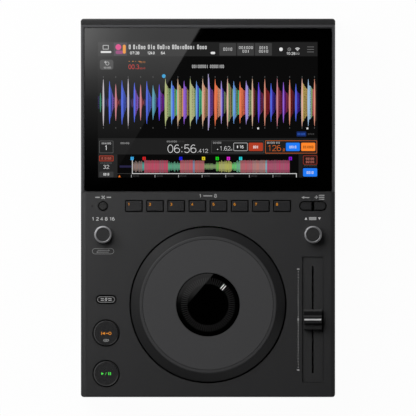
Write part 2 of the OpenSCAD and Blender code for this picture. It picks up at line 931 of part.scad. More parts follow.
// Power rocker, tipped to its off side
module power_rocker() {
    color([0.09, 0.09, 0.095])
        on_bay(rocker_x, inlet_z)
            translate([0, 0, -1])
                rotate([rocker_tilt / 2, 0, 0]) {
                    rotate([90, 0, 90])
                        linear_extrude(rocker_w, center = true)
                            polygon([[-5.6, 3.6], [-5.6, 0], [-2, -4], [2, -4], [5.6, 0],
                                [5.6, 3.6], [0, 2.6]]);
                    rotate([0, 90, 0])
                        cylinder(h = rocker_w + 2.4, r = pivot_r, center = true);
                }
}

jack_z = inlet_z - 1;
jack_neck_r = 5;
jack_len = 9;

// Row of coaxial jacks, standing on the main board
module audio_jacks() {
    color([0.72, 0.72, 0.7])
        for (x = jack_x)
            on_bay(x, jack_z) {
                difference() {
                    union() {
                        translate([0, 0, -bay_t - 0.1])
                            cylinder(h = bay_t + 1.3, r = jack_neck_r);
                        cylinder(h = 1.2 + jack_len, r = jack_r);
                    }
                    translate([0, 0, 1.5])
                        cylinder(h = jack_len, r = 1.6);
                }
                translate([-5.5, pcb_top - jack_z, -bay_t - 10.1])
                    cube([11, jack_z - pcb_top + 6, 10]);
            }
}

lan_w = 16;
lan_h = 13.5;
usb_w = 12;
usb_h = 11;

// Network and square USB sockets, standing on the main board
module data_ports() {
    color([0.75, 0.75, 0.76]) {
        on_bay(lan_x, pcb_top)
            difference() {
                translate([-lan_w / 2, 0, -19])
                    cube([lan_w, lan_h, 20]);
                translate([-5.9, 2.4, -12])
                    cube([11.8, 8, 14]);
                translate([-3, 1.2, -12])
                    cube([6, 2, 14]);
            }
        on_bay(usb_x, pcb_top)
            difference() {
                translate([-usb_w / 2, 0, -15])
                    cube([usb_w, usb_h, 16]);
                difference() {
                    translate([-4.25, 1.6, -9])
                        cube([8.5, 7.8, 11]);
                    translate([-2.8, 3.9, -10])
                        cube([5.6, 3.2, 9.5]);
                }
            }
    }
}

// ---- Boards in the lower case ----

// Main board with its processor, memory and connectors
module main_board() {
    x0 = -6;
    x1 = half_w - 17;
    color([0.05, 0.25, 0.12])
        difference() {
            translate([x0, pcb_y0, pcb_z])
                cube([x1 - x0, pcb_y1 - pcb_y0, board_t]);
            for (p = pcb_posts())
                translate([p[0], p[1], pcb_z - over])
                    cylinder(h = board_t + 2 * over, r = pilot_r);
        }
    color([0.12, 0.12, 0.13]) {
        translate([ribbon_x - 12, ribbon_y - 2.5, pcb_top])
            cube([24, 5, 2.9]);
        translate([12, pcb_y0 + 14, pcb_top])
            cube([22, 22, 2.4]);
        for (i = [0:2])
            translate([62 + 14 * i, pcb_y0 + 12, pcb_top])
                cube([9, 13, 1.2]);
        for (i = [0:3])
            translate([8 + 9 * i, pcb_y0 + 52, pcb_top])
                cylinder(h = 9, r = 3.2);
    }
}

// Power supply board with its transformer, capacitors and heat sink
module power_supply() {
    x0 = 18 - half_w;
    x1 = -12;
    y1 = bay_y - 20;
    color([0.55, 0.42, 0.2])
        difference() {
            translate([x0, pcb_y0, pcb_z])
                cube([x1 - x0, y1 - pcb_y0, board_t]);
            for (p = pcb_posts())
                translate([p[0], p[1], pcb_z - over])
                    cylinder(h = board_t + 2 * over, r = pilot_r);
        }
    color([0.75, 0.6, 0.2])
        translate([-66, pcb_y0 + 12, pcb_top])
            cube([30, 28, 24]);
    color([0.1, 0.12, 0.2]) {
        translate([-86, pcb_y0 + 24, pcb_top])
            cylinder(h = 26, r = 11);
        for (y = [12, 28])
            translate([-24, pcb_y0 + y, pcb_top])
                cylinder(h = 18, r = 5);
    }
    color([0.6, 0.6, 0.6])
        for (i = [0:4])
            translate([-64 + 8 * i, pcb_y0 + 54, pcb_top])
                cube([2, 20, 22]);
    color([0.9, 0.9, 0.88])
        translate([inlet_x - 10, y1 - 8, pcb_top])
            cube([20, 7, 6]);
}

// Two wires from the mains inlet down to the power supply
module power_harness() {
    wire_r = 1.3;
    plug_y = bay_y - 24.5;
    plug_z = pcb_top + 6;
    bend_z = inlet_z + 1;
    color([0.5, 0.1, 0.08])
        for (x = [-6, 6])
            translate([inlet_x + x, plug_y, 0]) {
                translate([0, 0, plug_z])
                    cylinder(h = bend_z - plug_z, r = wire_r);
                translate([0, 0, bend_z])
                    sphere(wire_r);
                translate([0, 0, bend_z])
                    rotate([-90, 0, 0])
                        cylinder(h = bay_y - 16.2 - plug_y, r = wire_r);
            }
}

// ---- Jog wheel ----

// Steel plate under the wheel, with the pin that the sensor pinion turns on
module jog_chassis() {
    color([0.66, 0.67, 0.68])
        translate([0, jog_y, chassis_z]) {
            difference() {
                cylinder(h = chassis_t, r = chassis_r);
                translate([0, 0, -over])
                    cylinder(h = chassis_t + 2 * over, r = spindle_bore + 0.5);
                for (a = [45:90:315])
                    rotate([0, 0, a])
                        translate([chassis_boss_at, 0, -over])
                            cylinder(h = chassis_t + 2 * over, r = pilot_r);
                for (a = [22.5:45:337.5])
                    rotate([0, 0, a])
                        translate([chassis_r * 0.5, 0, -over])
                            cylinder(h = chassis_t + 2 * over, r = chassis_r * 0.12);
            }
            translate([0, pinion_dist, chassis_t / 2])
                cylinder(h = hub_z - 0.4 - chassis_z - chassis_t / 2, r = pinion_pin_r);
        }
}

// Still spindle: a hollow post with a cup for the little display
module jog_spindle() {
    color([0.5, 0.5, 0.52])
        translate([0, jog_y, 0])
            rotate_extrude()
                polygon([[spindle_bore, chassis_top], [spindle_flange_r, chassis_top],
                    [spindle_flange_r, chassis_top + spindle_flange_t],
                    [spindle_r, chassis_top + spindle_flange_t], [spindle_r, cup_z],
                    [lens_r, cup_z], [lens_r, lens_z], [lens_r - cup_wall, lens_z],
                    [lens_r - cup_wall, cup_z + cup_t], [spindle_bore, cup_z + cup_t]]);
}

// Round display in the spindle's cup
module jog_display() {
    color([0.05, 0.05, 0.06])
        translate([0, jog_y, cup_z + cup_t])
            cylinder(h = panel_t, r = lens_r - cup_wall - fit);
}

// Dark window over the round display
module jog_window() {
    color([0.02, 0.02, 0.022])
        translate([0, jog_y, lens_z]) {
            cylinder(h = lens_t - 0.4, r = lens_r);
            translate([0, 0, lens_t - 0.4])
                cylinder(h = 0.4, r1 = lens_r, r2 = lens_r - 0.4);
        }
}

// Bush that carries the hub on the spindle
module jog_bearing() {
    color([0.72, 0.55, 0.3])
        translate([0, jog_y, bush_z]) {
            tube(bush_r, spindle_r + bush_fit, hub_top + 1 - bush_z);
            tube(bush_r + 2, spindle_r + bush_fit, bush_flange_t);
        }
}

hub_r = ring_in + 1.6;
hub_boss_z = bush_z + bush_flange_t + 0.2;
hub_boss_r = bush_r + 3.5;
hub_rib = 3;                     // width of the rings that carry the top plate
inner_rib = plate_in + 2.2;      // bore of the inner one
outer_rib = plate_r - 6.6 - hub_rib;
hub_hole_at = (hub_boss_r + inner_rib) / 2;
hub_hole_r = (inner_rib - hub_boss_r) / 2 - 3.5;

// Hub: boss, disc, gear ring and two rings under the top plate
module jog_hub() {
    pad_h = plate_z - plate_press - 0.1 - hub_top;
    color([0.13, 0.13, 0.135])
        translate([0, jog_y, 0]) {
            difference() {
                union() {
                    translate([0, 0, hub_boss_z])
                        cylinder(h = hub_top + 1 - hub_boss_z, r = hub_boss_r);
                    translate([0, 0, hub_z])
                        cylinder(h = hub_t, r = hub_r);
                }
                translate([0, 0, hub_boss_z - over])
                    cylinder(h = hub_top + 3 * over, r = bush_r + 0.02);
                for (a = [0:60:300])
                    rotate([0, 0, a])
                        translate([hub_hole_at, 0, hub_z - over])
                            cylinder(h = hub_t + 2 * over, r = hub_hole_r);
            }
            for (r = [inner_rib, outer_rib])
                translate([0, 0, hub_top - 0.5])
                    tube_flat(r + hub_rib, r, pad_h + 0.5);
            translate([0, 0, gear_z])
                difference() {
                    linear_extrude(gear_h + 0.5)
                        rotate([0, 0, 90 + 180 / wheel_teeth])
                            gear_outline(wheel_teeth, tooth_m);
                    translate([0, 0, -over])
                        cylinder(h = gear_h + 0.5 + 2 * over,
                            r = (wheel_teeth / 2 - 5) * tooth_m);
                }
        }
}

// Tube with no overrun, for a ring that stands on a disc
module tube_flat(r, bore, h) {
    linear_extrude(h)
        difference() {
            circle(r);
            circle(bore);
        }
}

// Sloping outer ring of the wheel
module jog_ring() {
    skirt_z = gear_z + gear_h + fit;
    flat = 2.2;                  // flat rim next to the plate
    roll = 1.4;                  // width of the rounding between it and the slope
    edge = 0.15;
    color([0.15, 0.15, 0.155])
        translate([0, jog_y, 0])
            rotate_extrude()
                polygon([[hub_r - 7, hub_top], [hub_r + fit, hub_top],
                    [hub_r + fit, jog_top - 3.8], [jog_r - 2, deck_z - 1.3],
                    [jog_r - 2, skirt_z], [jog_r, skirt_z], [jog_r, deck_z - 0.2],
                    [jog_r - 0.4, deck_z + 0.6], [ring_in + flat + roll, jog_top - 1.2],
                    [ring_in + flat + roll / 2, jog_top - 0.3], [ring_in + flat, jog_top],
                    [ring_in + edge, jog_top], [ring_in, jog_top - edge],
                    [ring_in, hub_top + 2], [hub_r - 7, hub_top + 2]]);
}

// Flat top plate of the wheel
module jog_plate() {
    edge = 0.15;
    color([0.26, 0.26, 0.265])
        translate([0, jog_y, 0])
            rotate_extrude()
                polygon([[plate_in, plate_z], [plate_r, plate_z], [plate_r, jog_top - edge],
                    [plate_r - edge, jog_top], [plate_in + edge, jog_top],
                    [plate_in, jog_top - edge]]);
}

// Pinion driven by the wheel, with the slotted disc that the sensor reads
module jog_pinion() {
    slots = 24;
    color([0.85, 0.84, 0.8])
        translate([0, pinion_y, 0])
            difference() {
                union() {
                    translate([0, 0, gear_z + 0.3])
                        linear_extrude(gear_h - 0.8)
                            rotate([0, 0, -90])
                                gear_outline(pinion_teeth, tooth_m);
                    translate([0, 0, chassis_top + 0.3])
                        cylinder(h = gear_z + 0.4 - chassis_top - 0.3, r = 3.4);
                    translate([0, 0, disc_z])
                        cylinder(h = disc_t, r = disc_r);
                }
                translate([0, 0, chassis_top])
                    cylinder(h = hub_z - chassis_top, r = pinion_pin_r + 0.06);
                for (i = [0:slots - 1])
                    rotate([0, 0, i * 360 / slots])
                        translate([disc_r - 3.5, -0.6, disc_z - over])
                            cube([2.5, 1.2, disc_t + 2 * over]);
            }
}

// Small board with the fork that reads the slotted disc
module jog_sensor_board() {
    fork_y = pinion_y + disc_r - 3.5;
    color([0.05, 0.25, 0.12])
        translate([-13, pinion_y + disc_r - 4.5, chassis_top])
            cube([26, 14, board_t]);
    color([0.08, 0.08, 0.085])
        difference() {
            translate([-6, fork_y, chassis_top + board_t])
                cube([12, 8, disc_z + disc_t + 3 - chassis_top - board_t]);
            translate([-6 - over, fork_y - over, disc_z - 0.8])
                cube([12 + 2 * over, 5 + over, disc_t + 1.6]);
        }
}

// ---- Key boards and switches ----

// Board behind the hot cue row, with an arm to each knob
module row_board() {
    arm_y = knob_y - 16.5;
    color([0.05, 0.25, 0.12])
        difference() {
            translate([0, 0, board_z])
                linear_extrude(board_t) {
                    translate([-knob_x - 12.5, row_y - 7.5])
                        square([2 * knob_x + 23.5, 15]);
                    for (x = [-knob_x, knob_x])
                        translate([x - 10, arm_y])
                            square([20, row_y - arm_y]);
                }
            for (p = row_bosses)
                translate([p[0], p[1], board_z - over])
                    cylinder(h = board_t + 2 * over, r = pilot_r);
        }
}

// Board behind the shift, cue and play keys
module left_board() {
    color([0.05, 0.25, 0.12])
        difference() {
            translate([-main_x - 12.5, play_y - 12, board_z])
                cube([25, shift_y - play_y + 25.5, board_t]);
            for (p = left_bosses)
                translate([p[0], p[1], board_z - over])
                    cylinder(h = board_t + 2 * over, r = pilot_r);
        }
}

// One switch under each key, open at the top for the key's stem
module tact_switches() {
    color([0.35, 0.35, 0.36])
        for (p = key_places)
            translate([p[0], p[1], board_top])
                difference() {
                    translate([0, 0, switch_h / 2])
                        cube([switch_w, switch_w, switch_h], center = true);
                    translate([0, 0, switch_floor - board_top])
                        cylinder(h = switch_h, r = stem_bore);
                }
}

// Light guide of the status light
module status_light() {
    color([0.1, 0.1, 0.1])
        translate([-knob_x - light_off, row_y, 0]) {
            translate([0, 0, board_top])
                cylinder(h = deck_under - board_top - 0.1, r = light_r + 0.4);
            translate([0, 0, deck_under - 1])
                cylinder(h = deck_t + 0.8, r = light_r - 0.15);
        }
}

// Bodies of the two push encoders, with their bushings
module encoders() {
    color([0.55, 0.56, 0.58])
        for (x = [-knob_x, knob_x])
            translate([x, knob_y, board_top])
                difference() {
                    union() {
                        translate([0, 0, encoder_h / 2])
                            cube([encoder_w, encoder_w, encoder_h], center = true);
                        cylinder(h = bushing_top - board_top, r = bushing_r);
                    }
                    translate([0, 0, 0.6])
                        cylinder(h = encoder_h - 1.2, r = shaft_r + 0.8);
                    translate([0, 0, 1])
                        cylinder(h = bushing_top, r = shaft_r + rod_fit);
                }
}

// Push rod inside a knob's shaft
module plunger(x) {
    color([0.7, 0.7, 0.7])
        translate([x, knob_y, rod_z]) {
            cylinder(h = rod_top - rod_z, r = rod_r);
            cylinder(h = 0.8, r = shaft_r - 0.4);
        }
}
module beat_loop_plunger() { plunger(-knob_x); }
module browse_plunger() { plunger(knob_x); }

// Metal knob and its hollow shaft
module knob(x) {
    seat_z = knob_top - 1.6;
    shaft_z = rod_z + 0.8 + fit;
    color([0.7, 0.7, 0.72])
        translate([x, knob_y, 0])
            rotate_extrude()
                polygon([[rod_r + rod_fit, shaft_z], [shaft_r, shaft_z], [shaft_r, knob_z + 1],
                    [knob_r - 1.2, knob_z + 1], [knob_r - 1.2, knob_z], [knob_r - 0.2, knob_z],
                    [knob_r, knob_z + 0.3], [knob_r, knob_top - 1.1],
                    [knob_r - 0.35, knob_top - 0.35], [knob_cap_r + 0.6, knob_top],
                    [knob_cap_r + 0.1, knob_top - 0.3], [knob_cap_r + 0.1, seat_z],
                    [0, seat_z], [0, rod_top + 0.5], [rod_r + rod_fit, rod_top + 0.5]]);
}
module beat_loop_knob() { knob(-knob_x); }
module browse_knob() { knob(knob_x); }

// Dark insert in a knob's top
module knob_cap(x) {
    seat_z = knob_top - 1.6;
    color([0.14, 0.14, 0.145])
        translate([x, knob_y, seat_z]) {
            cylinder(h = 0.9, r = knob_cap_r);
            translate([0, 0, 0.9])
                cylinder(h = 0.3, r1 = knob_cap_r, r2 = knob_cap_r - 0.5);
        }
}
module beat_loop_cap() { knob_cap(-knob_x); }
module browse_cap() { knob_cap(knob_x); }

// ---- Keys ----

// Stem of a key, running in its switch
module key_stem() {
    translate([0, 0, stem_z])
        cylinder(h = lip_z - stem_z + 0.2, r = stem_r);
}

// Rectangular hot cue key number i
module hot_cue_button(i) {
    color([0.16, 0.16, 0.165])
        translate([cue_key_x(i), row_y, 0]) {
            translate([0, 0, lip_z])
                bevel_block(cue_w - 2 * key_gap, cue_d - 2 * key_gap,
                    deck_z + key_rise - lip_z, key_bevel);
            translate([0, 0, lip_z])
                linear_extrude(lip_t)
                    square([cue_w + 2 * key_lip, cue_d + 2 * key_lip], center = true);
            key_stem();
        }
}
module hot_cue_button_1() { hot_cue_button(0); }
module hot_cue_button_2() { hot_cue_button(1); }
module hot_cue_button_3() { hot_cue_button(2); }
module hot_cue_button_4() { hot_cue_button(3); }
module hot_cue_button_5() { hot_cue_button(4); }
module hot_cue_button_6() { hot_cue_button(5); }
module hot_cue_button_7() { hot_cue_button(6); }
module hot_cue_button_8() { hot_cue_button(7); }

// Round key in an opening of radius r, its top rise above the deck
module round_key(r, rise, bevel) {
    cap_r = r - key_gap;
    translate([0, 0, lip_z]) {
        cylinder(h = lip_t, r = r + key_lip);
        cylinder(h = deck_z + rise - bevel - lip_z, r = cap_r);
    }
    translate([0, 0, deck_z + rise - bevel])
        cylinder(h = bevel, r1 = cap_r, r2 = cap_r - bevel);
    key_stem();
}
module delete_button() {
    color([0.2, 0.2, 0.205])
        translate([-knob_x, row_y, 0])
            round_key(delete_r, key_rise, key_bevel);
}
module cue_button() {
    color([0.15, 0.15, 0.155])
        translate([-main_x, cue_y, 0])
            round_key(main_r, main_rise, main_bevel);
}
module play_button() {
    color([0.15, 0.15, 0.155])
        translate([-main_x, play_y, 0])
            round_key(main_r, main_rise, main_bevel);
}

// Half round key of the pair at the right: side is -1 or 1
module pair_key(side) {
    w = pair_key_w;
    d = pair_d - 2 * key_gap;
    lip_w = w + key_gap + key_lip;
    color([0.16, 0.16, 0.165])
        translate([pair_x(side), row_y, 0]) {
            translate([0, 0, lip_z]) {
                linear_extrude(deck_z + key_rise - key_bevel - lip_z)
                    half_round(w, d, d / 2, side);
                linear_extrude(deck_z + key_rise - lip_z)
                    half_round(w - 2 * key_bevel, d - 2 * key_bevel, d / 2 - key_bevel, side);
                translate([side * (lip_w - w) / 2, 0, 0])
                    linear_extrude(lip_t)
                        half_round(lip_w, pair_d + 2 * key_lip, pair_d / 2 + key_lip, side);
            }
            key_stem();
        }
}
module back_button() { pair_key(-1); }
module tag_button() { pair_key(1); }

// Oblong shift key
module shift_button() {
    w = shift_w - 2 * key_gap;
    d = shift_d - 2 * key_gap;
    color([0.2, 0.2, 0.205])
        translate([-main_x, shift_y, 0]) {
            translate([0, 0, lip_z]) {
                linear_extrude(deck_z + key_rise - key_bevel - lip_z)
                    rrect(w, d, shift_r - key_gap);
                linear_extrude(deck_z + key_rise - lip_z)
                    rrect(w - 2 * key_bevel, d - 2 * key_bevel,
                        shift_r - key_gap - key_bevel);
                linear_extrude(lip_t)
                    rrect(shift_w + 2 * key_lip, shift_d + 2 * key_lip, shift_r);
            }
            key_stem();
        }
}

// ---- Tempo slider ----

// Sunken panel round the slider's slot, with posts that carry the slider's body
module slider_tray() {
    lip = 2;
    color([0.16, 0.16, 0.165])
        translate([slider_x, slider_y, 0])
            difference() {
                union() {
                    translate([0, 0, deck_under - 1.6])
                        linear_extrude(1.6)
                            rrect(tray_w + 2 * lip, tray_d + 2 * lip, 1);
                    translate([0, 0, deck_under - 1])
                        linear_extrude(tray_top - deck_under + 1)
                            rrect(tray_w - 2 * fit, tray_d - 2 * fit, 0.6);
                    for (s = [-1, 1])
                        translate([0, s * slider_boss, house_top])
                            cylinder(h = deck_under - house_top, r = boss_r);
                }
                translate([0, 0, deck_under - 1.6 - over])
                    linear_extrude(tray_top)
                        square([slot_w, slot_d], center = true);
                for (s = [-1, 1])
                    translate([0, s * slider_boss, house_top - over])
                        cylinder(h = 5, r = pilot_r);
            }
}

// Body of the slider: a channel that its carriage runs in
module slider_housing() {
    color([0.6, 0.6, 0.62])
        translate([slider_x, slider_y, 0])
            difference() {
                translate([-house_w / 2, -house_d / 2, house_z])
                    cube([house_w, house_d, house_top - house_z]);
                translate([-3.2, -slot_d / 2 - 2, house_z + 1.5])
                    cube([6.4, slot_d + 4, 7]);
                translate([-slot_w / 2 - fit, -slot_d / 2, house_z + 7])
                    cube([slot_w + 2 * fit, slot_d, 5]);
                for (s = [-1, 1])
                    translate([0, s * slider_boss, house_z - over])
                        cylinder(h = house_top, r = pilot_r);
            }
}

// Carriage and lever of the slider
module slider_lever() {
    color([0.75, 0.75, 0.76])
        translate([slider_x, slider_y, 0]) {
            translate([-2.9, -3.5, house_z + 1.8])
                cube([5.8, 7, 6.4]);
            translate([-lever_t / 2, -lever_d / 2, house_z + 4])
                cube([lever_t, lever_d, fader_z + 5 - house_z - 4]);
        }
}

// Cap of the slider, with a raised bar across its middle
module slider_knob() {
    e = fader_d / 2;
    color([0.16, 0.16, 0.165])
        translate([slider_x, slider_y, fader_z])
            difference() {
                along_x(fader_w)
                    polygon([[-e, 0], [-e, fader_h - 4.4], [0.8 - e, fader_h - 3.4],
                        [-4.3, fader_h - 4.8], [-3.8, fader_h - 4.6], [-3.5, fader_h - 0.5],
                        [-3, fader_h], [3, fader_h], [3.5, fader_h - 0.5],
                        [3.8, fader_h - 4.6], [4.3, fader_h - 4.8], [e - 1.6, fader_h - 3.2],
                        [e, fader_h - 4.6], [e, 0]]);
                translate([0, 0, 2.5])
                    cube([lever_t + 0.1, lever_d + 0.1, 5 + 0.1], center = true);
            }
}

bottom_case();
top_case();
screen_housing();
display_frame();
cover_glass();
lcd_module();
display_bracket();
rear_panel();
main_board();
power_supply();
ac_inlet();
switch_housing();
power_rocker();
audio_jacks();
data_ports();
display_ribbon();
power_harness();
jog_chassis();
jog_spindle();
jog_display();
jog_window();
jog_bearing();
jog_hub();
jog_ring();
jog_plate();
jog_pinion();
jog_sensor_board();
row_board();
left_board();
tact_switches();
encoders();
beat_loop_plunger();
beat_loop_knob();
beat_loop_cap();
browse_plunger();
browse_knob();
browse_cap();
slider_tray();
slider_housing();
slider_lever();
slider_knob();
status_light();
hot_cue_button_1();
hot_cue_button_2();
hot_cue_button_3();
hot_cue_button_4();
hot_cue_button_5();
hot_cue_button_6();
hot_cue_button_7();
hot_cue_button_8();
delete_button();
back_button();
tag_button();
shift_button();
cue_button();
play_button();
case_screws();
board_screws();
feet();
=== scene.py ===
import functools
import math
import random

import bpy
from mathutils import Matrix, Vector

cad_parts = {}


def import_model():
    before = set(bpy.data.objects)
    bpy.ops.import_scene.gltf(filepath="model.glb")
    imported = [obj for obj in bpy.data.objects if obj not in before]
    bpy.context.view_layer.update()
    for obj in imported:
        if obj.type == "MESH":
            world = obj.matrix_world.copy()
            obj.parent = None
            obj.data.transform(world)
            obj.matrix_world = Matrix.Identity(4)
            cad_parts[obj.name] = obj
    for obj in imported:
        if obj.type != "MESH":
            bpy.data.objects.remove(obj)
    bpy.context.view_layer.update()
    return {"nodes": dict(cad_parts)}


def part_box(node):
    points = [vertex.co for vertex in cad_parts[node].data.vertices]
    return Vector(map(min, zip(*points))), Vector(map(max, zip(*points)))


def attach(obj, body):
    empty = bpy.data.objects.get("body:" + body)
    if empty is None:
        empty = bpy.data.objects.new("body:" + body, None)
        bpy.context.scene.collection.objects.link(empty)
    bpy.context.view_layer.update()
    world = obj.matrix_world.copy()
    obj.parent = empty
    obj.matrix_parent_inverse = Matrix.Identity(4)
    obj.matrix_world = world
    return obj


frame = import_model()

# ---- sizes, in metres
MM = 0.001
PICTURE_POINTS = 416             # the picture is this many points wide and high
POINT = 0.9835 * MM              # one picture point at the deck's height
LENS_LENGTH = 1500.0             # millimetres, long enough that the view has next to no perspective
SENSOR = 36.0

DECK_Z = 72 * MM
TILT = math.radians(7)           # of the head and its glass
GLASS_D = 161 * MM
PANEL_W = 216 * MM               # lit part of the screen
PANEL_D = 135.6 * MM
PANEL_AHEAD = 12.2 * MM          # from the glass's front edge to the lit part
PANEL_COLUMNS = 1280             # the screen's own points from left to right
FILM = 0.02 * MM                 # thickness of a printed or lit film
LIFT = 0.03 * MM                 # top of such a film above what carries it
GRAIN = 0.012 * MM               # depth of the mouldings' spark-eroded grain
CASE_EDGE_X = 121 * MM           # the case's own sides lie outside these, its openings within
CASE_EDGE_Y = 182 * MM

KEY_PIECES = ["hot_cue_button_%d" % n for n in range(1, 9)]


def middle(node):
    """Centre of a node's box."""
    low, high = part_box(node)
    return (low + high) / 2


def top_of(node):
    """Height of a node's top."""
    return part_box(node)[1].z


JOG = middle("jog_plate")


# ---- colours
def linear(value):
    """One channel from 0 to 255 on a display, as light."""
    value /= 255
    return value / 12.92 if value <= 0.04045 else ((value + 0.055) / 1.055) ** 2.4


def shade(red, green=None, blue=None):
    """A colour given as it shows on a display, 0 to 255 a channel."""
    if green is None:
        green = blue = red
    return (linear(red), linear(green), linear(blue), 1.0)


# ---- shader sums
class Sock:
    """A shader socket that takes part in Python sums."""

    def __init__(self, finish, out):
        self.finish, self.out = finish, out

    def calc(self, operation, first, second=0.0):
        return self.finish.node("Math", {"operation": operation}, {0: first, 1: second})

    def __add__(self, other):
        return self.calc("ADD", self, other)

    def __sub__(self, other):
        return self.calc("SUBTRACT", self, other)

    def __rsub__(self, other):
        return self.calc("SUBTRACT", other, self)

    def __mul__(self, other):
        return self.calc("MULTIPLY", self, other)

    def over(self, limit):
        return self.calc("GREATER_THAN", self, limit)

    def size(self):
        return self.calc("ABSOLUTE", self)

    def wave(self):
        """Its sine, brought to between 0 and 1."""
        return self.calc("SINE", self) * 0.5 + 0.5

    def between(self, low, high):
        """0 at low, 1 at high, smooth and held outside them."""
        return self.finish.node("MapRange", {"interpolation_type": "SMOOTHSTEP"},
                                {"Value": self, "From Min": low, "From Max": high})


class Finish:
    """A material or a world, with one method that adds any node."""

    def __init__(self, name, world=None):
        self.owner = world or bpy.data.materials.new(name)
        self.owner.use_nodes = True
        self.tree = self.owner.node_tree
        self.tree.nodes.clear()
        self.place = self.node("TexCoord", out="Generated" if world else "Object")

    def node(self, kind, settings=None, inputs=None, out=0):
        made = self.tree.nodes.new("ShaderNode" + kind)
        for key, value in (settings or {}).items():
            setattr(made, key, value)
        for key, value in (inputs or {}).items():
            if isinstance(value, Sock):
                self.tree.links.new(value.out, made.inputs[key])
            else:
                made.inputs[key].default_value = value
        return Sock(self, made.outputs[out]) if made.outputs else made

    def moved(self, centre=(0, 0, 0), stretch=(1, 1, 1)):
        """The object's coordinates, centred or stretched."""
        return self.node("Mapping", {"vector_type": "TEXTURE"},
                         {"Vector": self.place, "Location": centre, "Scale": stretch})

    def noise(self, scale, detail=2.0, rough=0.5, at=None):
        return self.node("TexNoise", None,
                         {"Vector": at or self.place, "Scale": scale, "Detail": detail, "Roughness": rough})

    def ray(self, kind):
        """1 where a ray of this kind looks at the surface."""
        return self.node("LightPath", out="Is %s Ray" % kind)

    def along(self, axis, at=None):
        return self.node("SeparateXYZ", None, {"Vector": at or self.place}, out=axis)

    def reach(self, centre):
        """Distance from an upright axis through centre."""
        near = self.moved(centre)
        flat = self.node("CombineXYZ", None,
                         {"X": self.along("X", near), "Y": self.along("Y", near)})
        return self.node("VectorMath", {"operation": "LENGTH"}, {0: flat}, out="Value")

    def mix(self, amount, first, second):
        """first where amount is 0, second where it is 1."""
        return self.node("Mix", {"data_type": "RGBA"}, {0: amount, 6: first, 7: second}, out=2)

    def tone(self, colour, amount, spread):
        """colour made darker and lighter by spread as amount goes from 0 to 1."""
        dark = tuple(c * (1 - spread) for c in colour[:3]) + (1,)
        light = tuple(c * (1 + spread) for c in colour[:3]) + (1,)
        return self.mix(amount, dark, light)

    def bump(self, height, depth):
        return self.node("Bump", None, {"Height": height, "Distance": depth})

    def done(self, shader, output="OutputMaterial"):
        self.node(output, None, {"Surface": shader})
        return self.owner

    def surface(self, **values):
        """Principled surface; each name is the socket's name with _ for a space."""
        inputs = {key.replace("_", " "): value for key, value in values.items()}
        return self.done(self.node("BsdfPrincipled", None, inputs))

    def glowing(self, level):
        """Shader of white light."""
        return self.node("Emission", None, {"Color": (1, 1, 1, 1), "Strength": level})


# ---- finishes
# painted shade: near-black laid into colours where openings, gaps and grooves fall into shadow
PAINTED_SHADE = shade(6)


class Moulding(Finish):
    """Moulded plastic, with one fine grain in its colour and on its surface."""

    def __init__(self, name):
        super().__init__(name)
        self.fine = self.noise(2600, 2, 0.6)

    def face(self, colour):
        return self.tone(colour, self.fine, 0.06)

    def clouded(self, colour):
        """The same with a faint cloudiness in its colour."""
        return self.tone(colour, self.noise(14, 3) * 0.7 + self.fine * 0.3, 0.06)

    def satin(self, roughness, pitch=900):
        return self.noise(pitch) * 0.1 + roughness

    def grained(self, colour, roughness, specular=0.5, depth=GRAIN):
        return self.surface(Base_Color=colour, Roughness=roughness, Specular_IOR_Level=specular,
                            Normal=self.bump(self.fine, depth))


def moulded(name, colour, roughness=0.45):
    """Plain moulding."""
    f = Moulding(name)
    return f.grained(f.clouded(colour), f.satin(roughness - 0.05, 2600 / 3))


def case_moulding(name, colour):
    """Moulding of the case, with painted shade down the walls of the openings in its deck, but not on its
    outer sides.
    """
    f = Moulding(name)
    outside = f.along("X").size().over(CASE_EDGE_X) + f.along("Y").size().over(CASE_EDGE_Y)
    # painted shade: the colour turns near black from just below the deck's top, down the walls of its
    # openings
    clear_of_painted_shade = outside + f.along("Z").between(DECK_Z - 0.35 * MM, DECK_Z - 0.05 * MM)
    return f.grained(f.mix(clear_of_painted_shade, PAINTED_SHADE, f.clouded(colour)), f.satin(0.37))


def key_moulding(name, colour, rim=0.5):
    """Moulding of a key, with painted shade up to rim millimetres above the deck, darkening its sides and
    lower bevel where it stands in its opening.
    """
    f = Moulding(name)
    # painted shade on the key's sides and lower bevel, to darken the gap round it
    clear_of_painted_shade = f.along("Z").between(DECK_Z + (rim - 0.15) * MM, DECK_Z + rim * MM)
    return f.grained(f.mix(clear_of_painted_shade, PAINTED_SHADE, f.face(colour)), 0.95 - clear_of_painted_shade * 0.71, 0.7)


def coated(name, colour, roughness=0.5):
    """Powder paint on sheet metal: a low orange peel over fine speckle."""
    f = Finish(name)
    return f.surface(Base_Color=f.tone(colour, f.noise(3500, 1), 0.15),
                     Roughness=f.noise(60) * 0.12 + (roughness - 0.06),
                     Normal=f.bump(f.noise(700, 1), 0.03 * MM))


def anodised(name, colour, roughness, metal=1.0):
    """Bead-blasted and anodised metal."""
    f = Finish(name)
    fine = f.noise(4000, 1)
    return f.surface(Base_Color=f.tone(colour, f.noise(9, 2) * 0.6 + fine * 0.4, 0.05),
                     Metallic=metal,
                     Roughness=fine * 0.08 + (roughness - 0.04),
                     Normal=f.bump(fine, 0.004 * MM))


def turned(name, colour, centre, roughness, pitch=0.35 * MM, metal=1.0, depth=0.004 * MM, specular=0.5):
    """Metal turned on a lathe about an upright axis, with the tool's fine rings."""
    f = Finish(name)
    rings = (f.reach(centre) * (2 * math.pi / pitch)).wave()
    return f.surface(Base_Color=f.tone(colour, f.noise(900, 2) * 0.5 + rings * 0.5, 0.06),
                     Metallic=metal, Specular_IOR_Level=specular,
                     Roughness=f.noise(220, 2) * 0.12 + (roughness - 0.06),
                     Normal=f.bump(rings, depth))


